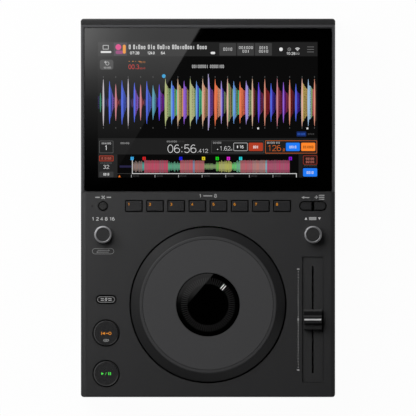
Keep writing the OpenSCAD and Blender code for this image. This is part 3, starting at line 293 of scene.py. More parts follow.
def fader_moulding(name, colour, edge):
    """Moulding of the slider's cap, with painted highlights in the colour edge along its rear-facing edges
    and painted shade on its front ramp.
    """
    f = Moulding(name)
    ahead = f.along("Y") - middle("slider_knob").y
    # painted highlights on the rear end's chamfer and on the saddle's rear-facing edge
    rear_edge_highlight = ahead.between(7.4 * MM, 7.9 * MM)
    saddle_edge_highlight = ahead.between(2.7 * MM, 2.9 * MM) * (1 - ahead.between(3.5 * MM, 3.7 * MM))
    # painted shade over the front ramp
    front_ramp_shade = 1 - ahead.between(-4.6 * MM, -4.2 * MM)
    plain = f.mix(rear_edge_highlight + saddle_edge_highlight, f.face(colour), f.face(edge))
    return f.grained(f.mix(front_ramp_shade * 0.6, plain, PAINTED_SHADE), f.satin(0.5), 0.2)


def jog_side(name, side, rim):
    """Satin moulding of the wheel's side, with a painted highlight in the colour rim on the flat rim next to
    the plate, and painted shade down the side from just above the deck.
    """
    f = Moulding(name)
    # painted highlight: the flat rim next to the plate takes the lighter colour rim
    outside = f.reach(JOG).between(66.6 * MM, 68.0 * MM)
    # painted shade down the ring's side in the groove round it
    clear_of_painted_shade = f.along("Z").between(DECK_Z - 0.6 * MM, DECK_Z + 0.1 * MM)
    face = f.mix(outside, f.face(rim), f.face(side))
    return f.grained(f.mix(clear_of_painted_shade, PAINTED_SHADE, face), f.satin(0.45), 0.24, 0.01 * MM)


def drawn_steel(name, colour, roughness=0.4, stretch=(30, 1, 1)):
    """Rolled or drawn metal, its lines along one axis."""
    f = Finish(name)
    lines = f.noise(1800, 3, 0.6, f.moved(stretch=stretch))
    return f.surface(Base_Color=f.tone(colour, lines, 0.14), Metallic=1.0,
                     Roughness=lines * 0.2 + (roughness - 0.1),
                     Normal=f.bump(lines, 0.006 * MM))


def polished(name, colour, roughness, haze=0.02):
    """Glass, window or smooth plastic, with the faintest unevenness."""
    f = Finish(name)
    return f.surface(Base_Color=f.tone(colour, f.noise(40, 2), 0.1),
                     Roughness=f.noise(25, 2) * haze + roughness,
                     IOR=1.5)


def circuit(name, mask, copper, scale=190):
    """Solder mask over copper tracks and fields."""
    f = Finish(name)
    tracks = f.node("TexBrick", {"offset": 0.5},
                    {"Vector": f.place, "Scale": scale, "Mortar Size": 0.06, "Row Height": 0.35,
                     "Brick Width": 0.9}, out="Fac")
    pads = f.node("TexVoronoi", None, {"Vector": f.place, "Scale": scale * 2.2}).between(0.12, 0.16)
    return f.surface(Base_Color=f.mix(tracks * pads, mask, copper), Roughness=f.noise(300) * 0.1 + 0.3,
                     Normal=f.bump(tracks, 0.02 * MM))


def rubbery(name, colour):
    """Soft matt rubber with a dusty bloom."""
    f = Finish(name)
    bloom = f.noise(160, 4)
    return f.surface(Base_Color=f.tone(colour, bloom, 0.3), Roughness=bloom * 0.1 + 0.75,
                     Normal=f.bump(f.noise(2200, 2), 0.02 * MM))


def sheathed(name, colour, ribs=1500):
    """Cable film or sheath, its conductors just showing."""
    f = Finish(name)
    lines = (f.along("X") * ribs * 2).wave()
    return f.surface(Base_Color=f.tone(colour, lines, 0.15), Roughness=f.noise(200) * 0.1 + 0.4,
                     Normal=f.bump(lines, 0.03 * MM))


def inked(name, colour):
    """Screen-printed ink, a little uneven where it crosses the moulding's grain."""
    f = Finish(name)
    return f.surface(Base_Color=f.tone(colour, f.noise(1500, 3), 0.12), Roughness=0.55)


@functools.cache
def lit(red, green=None, blue=None):
    """Light of one colour behind black glass, as it shows on a display."""
    colour = shade(red, green, blue)
    f = Finish("lit_%d_%d_%d" % tuple(round(255 * c) for c in colour[:3]))
    return f.surface(Base_Color=(0.002, 0.002, 0.002, 1), Roughness=0.01, IOR=1.5,
                     Emission_Color=colour, Emission_Strength=1.0)


ink_white = inked("ink_white", shade(208))
ink_bright = inked("ink_bright", shade(246))
ink_light = inked("ink_light_grey", shade(172))
ink_mid = inked("ink_grey", shade(128))
ink_dark = inked("ink_dark", shade(20))

FINISHES = [
    (case_moulding("case_moulding", shade(35, 35, 36)), ["top_case"]),
    (case_moulding("head_moulding", shade(32, 32, 33)), ["screen_housing"]),
    (moulded("lower_case_paint", shade(36, 36, 38), 0.5), ["bottom_case"]),
    (anodised("rim_anodised", shade(78, 78, 80), 0.4, 0.35), ["display_frame"]),
    (polished("cover_glass_black", (0.0002, 0.0002, 0.0002, 1), 0.01, 0.01), ["cover_glass"]),
    (polished("screen_module", shade(26), 0.1), ["lcd_module", "jog_display"]),
    (drawn_steel("bracket_steel", shade(190, 191, 194)), ["display_bracket"]),
    (coated("rear_sheet_paint", shade(30, 30, 31)), ["rear_panel"]),
    (coated("chassis_paint", shade(18), 0.7), ["jog_chassis"]),
    (circuit("board_green", shade(22, 78, 48), shade(120, 140, 80)),
     ["main_board", "row_board", "left_board", "jog_sensor_board"]),
    (circuit("supply_board", shade(150, 120, 70), shade(190, 150, 90), 120), ["power_supply"]),
    (moulded("black_plastic", shade(24, 24, 25), 0.38),
     ["ac_inlet", "switch_housing", "power_rocker", "tact_switches"]),
    (anodised("nickel_plate", shade(205, 204, 198), 0.22), ["audio_jacks", "data_ports", "encoders"]),
    (sheathed("flat_cable", shade(205, 200, 190)), ["display_ribbon"]),
    (sheathed("wire_sheath", shade(140, 30, 24), 700), ["power_harness"]),
    (turned("spindle_metal", shade(190), JOG, 0.35), ["jog_spindle"]),
    (polished("window_black", (0.0002, 0.0002, 0.0002, 1), 0.004, 0.004), ["jog_window"]),
    (turned("bush_brass", shade(205, 165, 95), JOG, 0.3), ["jog_bearing"]),
    (moulded("hub_moulding", shade(34, 34, 35), 0.5), ["jog_hub"]),
    # the second colour is the painted highlight on the ring's flat rim
    (jog_side("jog_side_moulding", shade(27, 27, 28), shade(57, 57, 58)), ["jog_ring"]),
    (turned("jog_face_metal", shade(68, 68, 69), JOG, 0.7, 1.1 * MM, 0.0, 0.002 * MM, 0.15), ["jog_plate"]),
    (moulded("pinion_acetal", shade(214, 210, 200), 0.4), ["jog_pinion"]),
    (drawn_steel("rod_steel", shade(188), 0.3, (1, 1, 30)),
     ["beat_loop_plunger", "browse_plunger", "slider_lever"]),
    (turned("beat_loop_metal", shade(150, 150, 152), middle("beat_loop_knob"), 0.55), ["beat_loop_knob"]),
    (turned("browse_metal", shade(142, 142, 144), middle("browse_knob"), 0.55), ["browse_knob"]),
    (moulded("knob_insert", shade(14, 14, 15), 0.6), ["beat_loop_cap", "browse_cap"]),
    (moulded("tray_moulding", shade(31, 31, 32), 0.5), ["slider_tray"]),
    (drawn_steel("fader_body_steel", shade(180), 0.4, (1, 30, 1)), ["slider_housing"]),
    # the second colour is the painted highlight along the cap's rear-facing edges
    (fader_moulding("fader_cap", shade(27, 27, 28), shade(52)), ["slider_knob"]),
    (polished("light_guide", shade(8), 0.6), ["status_light"]),
    # rim, the number after a key's colour (0.5 where none is given), is how high its painted shade reaches
    # above the deck, in millimetres
    (key_moulding("key_black", shade(39, 39, 40)), KEY_PIECES + ["back_button", "tag_button"]),
    (key_moulding("key_grey", shade(37), 0.78), ["delete_button"]),
    (key_moulding("key_shift", shade(22), 0.6), ["shift_button"]),
    (key_moulding("key_main", shade(31, 31, 32), 0.9), ["cue_button", "play_button"]),
    (drawn_steel("screw_zinc", shade(180, 180, 182), 0.35, (1, 1, 20)), ["case_screws", "board_screws"]),
    (rubbery("foot_rubber", shade(28)), ["feet"]),
]
for material, nodes in FINISHES:
    for node in nodes:
        slots = frame["nodes"][node].data.materials
        slots.clear()
        slots.append(material)


# ---- making flat shapes
def clear_selection():
    bpy.ops.object.select_all(action="DESELECT")


def edit(step, **values):
    """One edit-mode step on all of the piece just made."""
    bpy.ops.object.mode_set(mode="EDIT")
    bpy.ops.mesh.select_all(action="SELECT")
    step(**values)
    bpy.ops.object.mode_set(mode="OBJECT")


def taken():
    """The mesh of the piece just made, to be copied where it is needed."""
    made = bpy.context.object
    mesh = made.data
    bpy.data.objects.remove(made)
    return mesh


def drop_middle():
    """Deletes the face that an inset has left in the middle, and keeps its border."""
    for face in bpy.context.object.data.polygons:
        face.select = face.center.length < 1e-6
    bpy.ops.object.mode_set(mode="EDIT")
    bpy.ops.mesh.select_mode(type="FACE")
    bpy.ops.mesh.delete(type="FACE")
    bpy.ops.object.mode_set(mode="OBJECT")


def made_once(build):
    """Keeps what build makes, and gives it again for sizes that agree to a ten-thousandth of a millimetre."""
    kept = {}

    def found(*sizes):
        key = tuple(round(size, 7) for size in sizes)
        if key not in kept:
            kept[key] = build(*sizes)
        return kept[key]

    return found


@made_once
def rounded(width, depth, radius, line):
    """Flat plate with rounded corners, or its outline if a line width is given."""
    clear_selection()
    bpy.ops.mesh.primitive_plane_add(size=1)
    edit(bpy.ops.transform.resize, value=(width, depth, 1))
    if radius > 0:
        edit(bpy.ops.mesh.bevel, offset=min(radius, 0.499 * min(width, depth)), segments=4,
             affect="VERTICES")
    if line:
        edit(bpy.ops.mesh.inset, thickness=line)
        drop_middle()
    return taken()


@made_once
def disc(radius, line, corners):
    """Flat disc, or a ring if a line width is given."""
    clear_selection()
    bpy.ops.mesh.primitive_circle_add(vertices=corners, radius=radius, fill_type="NGON")
    if line:
        edit(bpy.ops.mesh.inset, thickness=line)
        drop_middle()
    return taken()


@functools.cache
def cornered(points):
    """Flat shape with the corners given, going round to the left."""
    clear_selection()
    bpy.ops.mesh.primitive_circle_add(vertices=len(points), fill_type="NGON")
    made = bpy.context.object.data
    for corner, (x, y) in zip(made.vertices, points):
        corner.co = (x, y, 0)
    made.update()
    if made.polygons[0].normal.z < 0:
        made.flip_normals()
    return taken()


ARC_STEP = 18                    # degrees from one point of an arc to the next


def arc(x, y, across, up, start, end):
    """Points along part of an ellipse, from one angle to another."""
    count = round(abs(end - start) / ARC_STEP)
    angles = [math.radians(start + (end - start) * n / count) for n in range(count + 1)]
    return [(x + across * math.cos(a), y + up * math.sin(a)) for a in angles]


def ribbon(points, width):
    """Corners of a stroke of one width through the points, closed if it ends where it starts."""
    closed = math.dist(points[0], points[-1]) < 1e-6
    left, right = [], []
    for n, (x, y) in enumerate(points):
        before = points[n - 1] if n else points[-2] if closed else None
        after = points[n + 1] if n + 1 < len(points) else points[1] if closed else None
        steps = []
        for a, b in ((before, (x, y)), ((x, y), after)):
            if a and b:
                steps.append(Vector((b[0] - a[0], b[1] - a[1])).normalized())
        way = sum(steps, Vector((0, 0))).normalized()
        reach = width / 2 / max(0.5, way.dot(steps[0]))
        left.append((x - way.y * reach, y + way.x * reach))
        right.append((x + way.y * reach, y - way.x * reach))
    return left + right[::-1]


SIX = arc(0, 0, 0.25, 0.45, 55, 180) + arc(0, -0.18, 0.25, 0.27, 180, 540)
STROKES = {
    "0": [arc(0, 0, 0.25, 0.45, 90, 450)],
    "1": [[(-0.14, 0.27), (0.05, 0.45), (0.05, -0.45)]],
    "2": [arc(0, 0.2, 0.24, 0.25, 165, -35) + [(-0.25, -0.45), (0.27, -0.45)]],
    "3": [arc(0, 0.22, 0.22, 0.23, 150, -90), arc(0, -0.22, 0.25, 0.23, 90, -150)],
    "4": [[(0.1, -0.45), (0.1, 0.45), (-0.27, -0.2), (0.28, -0.2)]],
    "5": [[(0.21, 0.45), (-0.17, 0.45), (-0.2, 0.02)] + arc(0, -0.17, 0.25, 0.28, 125, -145)],
    "6": [SIX],
    "7": [[(-0.25, 0.45), (0.26, 0.45), (-0.08, -0.45)]],
    "8": [arc(0, 0.23, 0.21, 0.22, -90, 270), arc(0, -0.22, 0.25, 0.23, 90, 450)],
    "9": [[(-x, -y) for x, y in SIX]],
    ":": [[(0, 0.22), (0, 0.1)], [(0, -0.28), (0, -0.4)]],
    ".": [[(0, -0.36), (0, -0.48)]],
    "+": [[(-0.19, -0.1), (0.19, -0.1)], [(0, 0.09), (0, -0.29)]],
}
FIGURE_WIDTH = 0.64              # room for a figure, as a share of its height
NARROW = {":": 0.3, ".": 0.28, " ": 0.4}


class Film:
    """Thin printed or lit shapes laid on one flat face, joined into one piece when done."""

    def __init__(self, name, place, slot, body="root", unit=MM, lift=LIFT):
        self.name, self.place, self.slot, self.body = name, place, slot, body
        self.unit, self.lift, self.parts = unit, lift, []

    def lay(self, shape, x, y, ink, turn=0.0, raised=0):
        mesh = shape.copy()
        at = Vector((x * self.unit, y * self.unit, self.lift * (1 + raised)))
        mesh.transform(Matrix.Translation(at) @ Matrix.Rotation(math.radians(turn), 4, "Z"))
        mesh.materials.clear()
        mesh.materials.append(ink)
        self.parts.append(mesh)

    def bar(self, x, y, width, depth, ink, turn=0.0, radius=None, line=0.0, raised=0):
        if radius is None:
            radius = 0.25 * min(width, depth)
        sizes = [size * self.unit for size in (width, depth, radius, line)]
        self.lay(rounded(*sizes), x, y, ink, turn, raised)

    def dot(self, x, y, radius, ink, line=0.0, raised=0, corners=32):
        self.lay(disc(radius * self.unit, line * self.unit, corners), x, y, ink, raised=raised)

    def shape(self, x, y, points, ink, turn=0.0, raised=0):
        placed = tuple((a * self.unit, b * self.unit) for a, b in points)
        self.lay(cornered(placed), x, y, ink, turn, raised)

    def arrow(self, x, y, size, ink, turn=0.0):
        back, half = -0.5 * size, 0.55 * size
        self.shape(x, y, [(back, -half), (0.6 * size, 0), (back, half)], ink, turn)

    def number(self, x, y, text, height, ink, squeeze=1.0, line=0.11, raised=0):
        """Plain figures about a centre, as strokes of a share of their height."""
        wide = height * squeeze
        at = x - wide * sum(NARROW.get(c, FIGURE_WIDTH) for c in text) / 2
        for c in text:
            step = wide * NARROW.get(c, FIGURE_WIDTH)
            for points in STROKES.get(c, ()):
                outline = ribbon([(a * wide, b * height) for a, b in points], line * height)
                self.shape(at + step / 2, y, outline, ink, raised=raised)
            at += step

    def done(self):
        clear_selection()
        for mesh in self.parts:
            part = bpy.data.objects.new(self.name, mesh)
            bpy.context.collection.objects.link(part)
            part.select_set(True)
        bpy.context.view_layer.objects.active = part
        if len(self.parts) > 1:
            bpy.ops.object.join()
        piece = bpy.context.object
        piece.name = piece.data.name = self.name
        bpy.ops.object.modifier_add(type="SOLIDIFY")
        piece.modifiers[-1].thickness = FILM
        piece.modifiers[-1].offset = -1
        bpy.ops.object.modifier_apply(modifier=piece.modifiers[-1].name)
        piece.data.transform(self.place)
        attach(piece, self.body)


def on_top(node):
    """A flat frame of reference on a node's top, at its middle."""
    at = middle(node)
    return Matrix.Translation((at.x, at.y, top_of(node)))


# ---- prints on the deck
deck = Matrix.Translation((0, 0, DECK_Z))
LEFT_KEYS_X = -103.1             # middle of the delete key and of the beat loop knob, in millimetres
TAG_SIGN_X = 111.8
BROWSE_SIGN_X = 103


def tempo_scale():
    """Marks beside the tempo slider."""
    film = Film("tempo_scale", deck, "case")
    x, step, steps = 88.7, 2.757, 18
    for n in range(-steps, steps + 1):
        y = middle("slider_tray").y / MM + n * step
        if n == 0:
            film.bar(x, y, 1.8, 2.8, ink_light, radius=0.8)
        elif abs(n) == steps:
            film.bar(x, y, 2.6, 0.8, ink_white, radius=0.3)
        else:
            film.dot(x, y, 0.34, ink_bright, corners=12)
    film.done()


def lines_of_list(film, x, y, step, width, depth, ink):
    """Three short lines, one over the other."""
    for row in (-step, 0, step):
        film.bar(x, y + row, width, depth, ink)


def deck_signs():
    """Plain signs over the keys and knobs."""
    film = Film("deck_signs", deck, "case")
    # delete: a cross between two dashes
    for side in (-1, 1):
        film.bar(LEFT_KEYS_X + side * 5.6, 10.5, 4.4, 1.1, ink_light)
        film.bar(LEFT_KEYS_X, 10.5, 4.2, 0.9, ink_light, 45 * side)
    # hot cues: one to eight
    film.number(-7.6, 11.9, "1", 3.4, ink_light, 1.2, 0.18)
    film.bar(-0.2, 11.9, 8.8, 0.9, ink_light)
    film.number(7.4, 11.9, "8", 3.4, ink_light, 1.2, 0.18)
    # beat loop: lengths that double
    film.number(LEFT_KEYS_X, -10.7, "1 2 4 8 16", 3.2, ink_white, 1.3, 0.17)
    # back
    film.bar(96.9, 10.3, 5.6, 0.8, ink_light)
    film.arrow(93.4, 10.3, 2.4, ink_light, 180)
    # tag: a list with a plus
    lines_of_list(film, TAG_SIGN_X, 10.6, 1.9, 5.4, 0.8, ink_light)
    film.bar(TAG_SIGN_X - 5.2, 10.6, 3.4, 0.8, ink_light)
    film.bar(TAG_SIGN_X - 5.2, 10.6, 0.8, 3.4, ink_light)
    # browse: up and down a list
    lines_of_list(film, BROWSE_SIGN_X, -10.4, 1.1, 7.4, 0.55, ink_white)
    for side in (-1, 1):
        film.arrow(BROWSE_SIGN_X + side * 6.6, -10.4, 2.4, ink_white, -90 * side)
    # loop capsule under the left knob
    x, y = -103.2, -42.5
    film.bar(x, y, 21.6, 5.8, ink_mid, radius=2.9, line=0.5)
    for side in (-1, 1):
        film.bar(x, y + side * 0.9, 11, 0.7, ink_mid)
        film.arrow(x + side * 5.8, y + side * 0.9, 1.8, ink_mid, 90 - 90 * side)
    film.done()


tempo_scale()
deck_signs()

ORANGE = lit(220, 136, 44)
AMBER_FIGURE = lit(180, 116, 36)
GREEN = lit(4, 222, 14)


def key_film(name, node, slot="key"):
    return Film(name, on_top(node), slot, node)


def key_legends():
    """Lit signs and figures in the keys' tops."""
    for n, node in enumerate(KEY_PIECES, 1):
        film = key_film("hot_cue_legend_%d" % n, node)
        film.number(-5.0, 1.7, str(n), 2.5, AMBER_FIGURE, 1.2, 0.26)
        film.done()
    film = key_film("shift_legend", "shift_button", "key_grey")
    film.bar(0, 0, 17.4, 5.9, ink_mid, radius=2.95, line=0.6)
    film.shape(0, 0.6, [(-1.62, -0.54), (1.62, -0.54), (0, 1.35)], ink_light)
    film.bar(0, -0.8, 1.3, 1.5, ink_light, radius=0.1)
    for side in (-1, 1):
        for step in (-1, 1):
            film.bar(3.7 * side, 0.8 * step, 3.4, 0.7, ink_light)
    film.done()
    film = key_film("cue_legend", "cue_button")
    film.bar(-4.5, -0.3, 0.6, 3.2, ORANGE)
    film.shape(-2.4, -0.3, [(1.2, -1.44), (1.2, 1.44), (-1.44, 0)], ORANGE)
    film.bar(0.9, -0.3, 2.4, 0.7, ORANGE)
    film.dot(3.7, -0.3, 1.5, ORANGE, line=0.55)
    film.bar(0, -7.2, 5.6, 2.6, ink_mid, radius=1.3)
    for side in (-1, 1):
        film.dot(side * 1.2, -7.2, 0.6, ink_dark, corners=12, raised=1)
    film.done()
    film = key_film("play_legend", "play_button")
    film.shape(-3.6, 0, [(-1.1, -1.32), (1.32, 0), (-1.1, 1.32)], GREEN)
    film.bar(-0.3, 0, 0.32, 3.0, GREEN, -22)
    for x in (2.6, 4.3):
        film.bar(x, 0, 0.85, 2.7, GREEN, radius=0.1)
    film.done()


key_legends()


# ---- jog wheel's display
def spoke(film, turn, reach, aside, length, width, ink, radius, raised=0):
    """A bar that points at the middle from some way out, set aside from that line by a little."""
    a = math.radians(turn)
    film.bar(reach * math.cos(a) - aside * math.sin(a), reach * math.sin(a) + aside * math.cos(a),
             length, width, ink, turn, radius=radius, raised=raised)


def jog_display_marks():
    """Ring of ticks and the position mark under the jog wheel's window."""
    film = Film("jog_ticks", on_top("jog_window"), "lens")
    ticks = 72
    for n in range(ticks):
        spoke(film, 360 / ticks * n, 23.4, 0, 6.4, 0.36, lit(48), 0.1)
    film.done()
    film = Film("jog_marker", on_top("jog_window"), "lens")
    for side in (-1, 1):
        spoke(film, 49, 22.7, side * 1.1, 5.6, 0.62, lit(245), 0.2, raised=1)
    film.done()


jog_display_marks()


# ---- tempo slider's line
def slider_line():
    """White line across the middle of the slider's cap."""
    film = Film("slider_line", on_top("slider_knob"), "fader", "tempo_slider")
    film.bar(0, 0, 16.6, 1.5, ink_white, radius=0.2)
    film.done()


slider_line()


# ---- the screen's picture
glass_low, glass_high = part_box("cover_glass")
GLASS_FRONT = Matrix.Translation((0, glass_low.y, glass_high.z - GLASS_D * math.sin(TILT))) \
    @ Matrix.Rotation(TILT, 4, "X")
PANEL_POINT = PANEL_W / PANEL_COLUMNS
PANEL = GLASS_FRONT @ Matrix.Translation((-PANEL_W / 2, PANEL_AHEAD + PANEL_D + 0.35 * MM, 0)) \
    @ Matrix.Diagonal((1, 1.012, 1, 1))


def screen_film(name, lift=LIFT):
    return Film(name, PANEL, "screen", unit=PANEL_POINT, lift=lift)


def block(film, left, top, right, bottom, ink, radius=0.0, line=0.0, raised=0):
    """A box in the screen's own columns and rows, counted from its upper left."""
    film.bar((left + right) / 2, -(top + bottom) / 2, right - left, bottom - top, ink,
             radius=radius, line=line, raised=raised)


WHITE = lit(228)
PALE = lit(176)
GREY = lit(100)
DIM = lit(62)
AMBER = lit(255, 136, 44)
BLUE = lit(32, 122, 244)
READING = lit(216, 106, 42)      # figures of the tempo reading


def words(film, left, right, row, height, ink, groups, raised=1, capitals=True):
    """A line of print, stood for by letter-sized marks; groups holds how many make up each word."""
    pitch = (right - left) / (sum(groups) + 0.7 * (len(groups) - 1) - 0.25)
    foot = row + height / 2
    x, count = left, 0
    for letters in groups:
        for n in range(letters):
            count += 1
            tall = height if capitals or n == 0 or count % 4 == 0 else 0.72 * height
            slim = count % 5 == 3
            wide = pitch * (0.26 if slim else 0.7)
            inset = pitch * 0.24 if slim else 0
            block(film, x + inset, foot - tall, x + inset + wide, foot, ink, radius=0.3 * wide,
                  line=0 if slim else 0.14 * height, raised=raised)
            x += pitch
        x += 0.7 * pitch


def boxes(film, rows):
    """Boxes by their left, top, right, bottom, ink, radius, line and height over the panel."""
    for row in rows:
        block(film, *row)


def prints(film, rows, raised=1):
    """Lines of print by their two ends, row, height, ink and the letters of each word."""
    for left, right, row, height, ink, *groups in rows:
        words(film, left, right, row, height, ink, groups, raised)


def figures(film, rows):
    """Figures by their middle, text, height, ink, width and line."""
    for column, row, *look in rows:
        film.number(column, -row, *look)


def screen_ground():
    """The dark panel and its grey header and information bars."""
    film = screen_film("screen_ground")
    block(film, -2, -2, PANEL_COLUMNS, 790, lit(4), 4)
    for left, top, right, bottom, level in (
            (0, 6, 1277, 87, 32), (0, 87, 1277, 562, 6), (0, 562, 1277, 656, 31), (0, 656, 112, 790, 36),
            (1192, 656, 1277, 790, 14)):
        block(film, left, top, right, bottom, lit(level), raised=1)
    film.done()


def screen_header():
    """Source, track, list keys and state signs along the top."""
    film = screen_film("screen_header", LIFT * 3)
    boxes(film, [
        (27, 22, 62, 48, PALE, 3, 4), (15, 57, 77, 68, lit(218), 5),
        (92, 8, 168, 84, lit(62, 56, 64), 1), (102, 54, 146, 74, lit(146, 62, 116), 9, 0, 1),
        (144, 20, 161, 72, lit(232, 150, 56), 8, 0, 2), (655, 61, 682, 75, lit(225), 7),
        (10, 107, 89, 165, lit(66), 14),
    ])
    film.dot(118, -34, 17, lit(214, 66, 132), raised=1, corners=20)
    words(film, 179, 633, 33, 26, lit(214), (1, 5, 3, 5, 9, 4), capitals=False)
    figures(film, [
        (213, 68, "07:28", 16, WHITE, 1.2, 0.15), (308, 68, "124.0", 16, WHITE, 0.94, 0.15),
        (378, 68, "64", 16, WHITE, 1.2, 0.15), (1122, 71, "10:28", 15, lit(212), 1.24, 0.15),
        (207.5, 148, "00.3", 27, lit(198, 54, 50), 1.06, 0.1),
    ])
    for left, right in ((706, 804), (810, 908), (913, 1012)):
        block(film, left, 11, right, 83, lit(59), 4)
    prints(film, [
        (729, 781, 46, 18, lit(196), 4), (820, 902, 37, 16, lit(204), 6), (841, 880, 58, 16, lit(204), 3),
        (940, 987, 37, 16, lit(204), 4), (937, 990, 58, 16, lit(204), 4),
    ], raised=2)
    # state signs, with the arcs of a radio
    film.dot(1065, -47, 10.5, WHITE, corners=24)
    film.dot(1113, -47, 10, lit(130), line=3.5, corners=24)
    film.dot(1113, -47, 3, lit(130), corners=12)
    for reach in (6, 13, 20):
        outside = arc(0, 0, reach, reach, 48, 132)
        film.shape(1161, -57, outside + arc(0, 0, reach - 4, reach - 4, 132, 48), WHITE)
    for row in (33, 47.5, 62):
        block(film, 1217, row - 1.6, 1257, row + 1.6, lit(108), 1)
    # return key
    film.dot(54, -129, 11, PALE, line=3, raised=1, corners=20)
    film.shape(42, -121, [(-8, 0), (4, -8), (4, 8)], PALE, raised=2)
    # small marks and readings over the wave
    for n, wide in enumerate((7, 10, 4, 14)):
        block(film, 178 + 19 * n, 115, 178 + 19 * n + wide, 118, lit(200, 130, 50), 1)
    prints(film, [
        (1153, 1172, 72, 11, PALE, 2), (34, 76, 153, 10, PALE, 6), (242, 275, 121, 9, lit(190, 116, 50), 4),
        (242, 274, 157, 9, lit(190, 56, 50), 4), (547, 733, 146, 19, lit(184), 8, 7),
    ])
    film.dot(383, -202, 11, lit(54, 160, 212), corners=24)
    film.done()


def screen_controls():
    """Readings and keys under the large wave."""
    film = screen_film("screen_controls", LIFT * 3)
    boxes(film, [
        (7, 577, 88, 648, GREY, 3, 2), (660, 576, 964, 648, lit(74), 3, 2),
        (788, 588, 871, 636, lit(176), 7, 3), (973, 575, 1275, 650, lit(180, 88, 38), 4, 3),
        (6, 663, 89, 695, lit(84, 38, 32), 4), (6, 663, 89, 695, lit(190, 68, 46), 4, 2.5, 1),
        (7, 756, 89, 787, lit(56), 5), (1168, 656, 1192, 790, lit(30), 2),
        (1194, 662, 1276, 714, lit(34, 24, 22), 4), (1194, 662, 1276, 714, lit(160, 58, 44), 4, 2.5, 1),
        (1156, 523, 1212, 552, lit(18, 40, 96), 4),
    ])
    figures(film, [
        (46, 618, "1", 28, WHITE, 1, 0.12), (488, 623, "06:56", 50, lit(214), 1.21, 0.068),
        (609, 635, ".412", 22, lit(204), 1.31, 0.1), (696, 625, "+", 18, WHITE, 1, 0.12),
        (739, 621, "1.62", 26, lit(214), 1.14, 0.078), (835, 612, "16", 17, WHITE, 1.2, 0.14),
        (1026, 619, "126", 35, READING, 1.22, 0.072), (1080, 629, ".0", 16, READING, 1, 0.12),
        (46, 728, "32", 22, lit(205), 1.35, 0.11),
    ])
    prints(film, [
        (21, 75, 592, 10, lit(206), 6), (131, 181, 591, 10, PALE, 5), (401, 459, 581, 9, PALE, 6),
        (468, 502, 581, 9, DIM, 4), (670, 717, 588, 10, lit(180), 5), (771, 781, 629, 9, PALE, 2),
        (984, 1058, 588, 10, lit(196), 6, 3), (13, 79, 706, 7, GREY, 7), (1199, 1273, 721, 7, GREY, 8),
        (1222, 1258, 538, 9, lit(84), 4),
    ])
    prints(film, [
        (20, 76, 679, 12, lit(196, 110, 96), 1, 4), (31, 64, 771, 14, WHITE, 4),
        (1211, 1258, 681, 12, lit(206, 118, 104), 5), (1211, 1258, 699, 12, lit(206, 118, 104), 5),
        (1162, 1206, 538, 11, lit(56, 104, 214), 5),
    ], raised=2)
    film.shape(812, -612, [(-3, -7), (3, -7), (3, 7), (-3, 7)], WHITE)
    # touch keys, each with one word in its middle
    for left, top, right, bottom, ink, print_ink, letters in (
            (877, 588, 960, 636, lit(174, 60, 36), lit(250), 3), (1094, 588, 1175, 636, BLUE, WHITE, 4),
            (1183, 588, 1265, 636, AMBER, lit(12, 6, 4), 6), (1194, 736, 1276, 784, BLUE, WHITE, 4)):
        block(film, left, top, right, bottom, ink, 6)
        column, half = (left + right) / 2, 5 * letters
        words(film, column - half, column + half, (top + bottom) / 2 + 1, 15, print_ink, (letters,), 2)
    film.done()


def slat(width, height, point):
    """Upright strip with pointed ends, for one moment of sound."""
    half, shoulder = width / 2, height * (1 - point)
    tip = [(0, height)] if point else []
    return [(half, -shoulder), (half, shoulder)] + tip + [(-half, shoulder), (-half, -shoulder)] \
        + [(0, -y) for x, y in tip]


def spindle(width, height):
    """A drum stroke: a slim upright drawn out to a tip above and below."""
    right = [(width / 2 * share, height * up)
             for up, share in ((0.0, 1.0), (0.45, 0.85), (0.75, 0.6), (1.0, 0.15))]
    up_left = [(-x, y) for x, y in right[::-1]]
    down_left = [(-x, -y) for x, y in right[1:]]
    down_right = [(x, -y) for x, y in right[:0:-1]]
    return right + up_left + down_left + down_right


WAVE_ROW = 355
WAVE_BEAT = 36.17
WAVE_START = 30.5
WAVE_END = 1272
SHADES = {
    "white": (196, 186, 192), "blue": (76, 102, 220), "violet": (92, 70, 220), "purple": (142, 96, 204),
    "pink": (200, 132, 138), "cyan": (92, 162, 182), "khaki": (178, 182, 128), "tan": (204, 178, 150),
    "brown": (146, 122, 78), "green": (64, 176, 128), "sky": (108, 164, 226), "lilac": (156, 148, 214),
    "orange": (230, 118, 76), "salmon": (214, 146, 118), "red": (160, 40, 42), "wine": (104, 36, 56),
    "magenta": (150, 50, 92), "gold": (186, 160, 90), "steel": (72, 68, 122), "sage": (136, 160, 108),
    "peach": (220, 172, 158), "night": (66, 40, 164), "moss": (104, 148, 96), "plum": (104, 70, 120),
    "ice": (156, 196, 220), "umber": (60, 44, 36), "crimson": (176, 74, 86), "teal": (60, 96, 96),
    "grape": (132, 40, 160),
}
# how bright a beat's sound is, and how high at even steps, as a share of the stroke that starts it
SOUNDS = {
    "click": (0.8, (1.0, 0.42, 0.17, 0.05, 0.2, 0.22, 0.12, 0.0)),
    "drum": (0.85, (0.94, 0.72, 0.58, 0.46, 0.3, 0.26, 0.25, 0.24)),
    "rich": (1.0, (0.9, 0.77, 0.73, 0.66, 0.6, 0.58, 0.55, 0.34)),
    "dry": (0.74, (0.86, 0.68, 0.58, 0.52, 0.5, 0.44, 0.26, 0.04)),
}
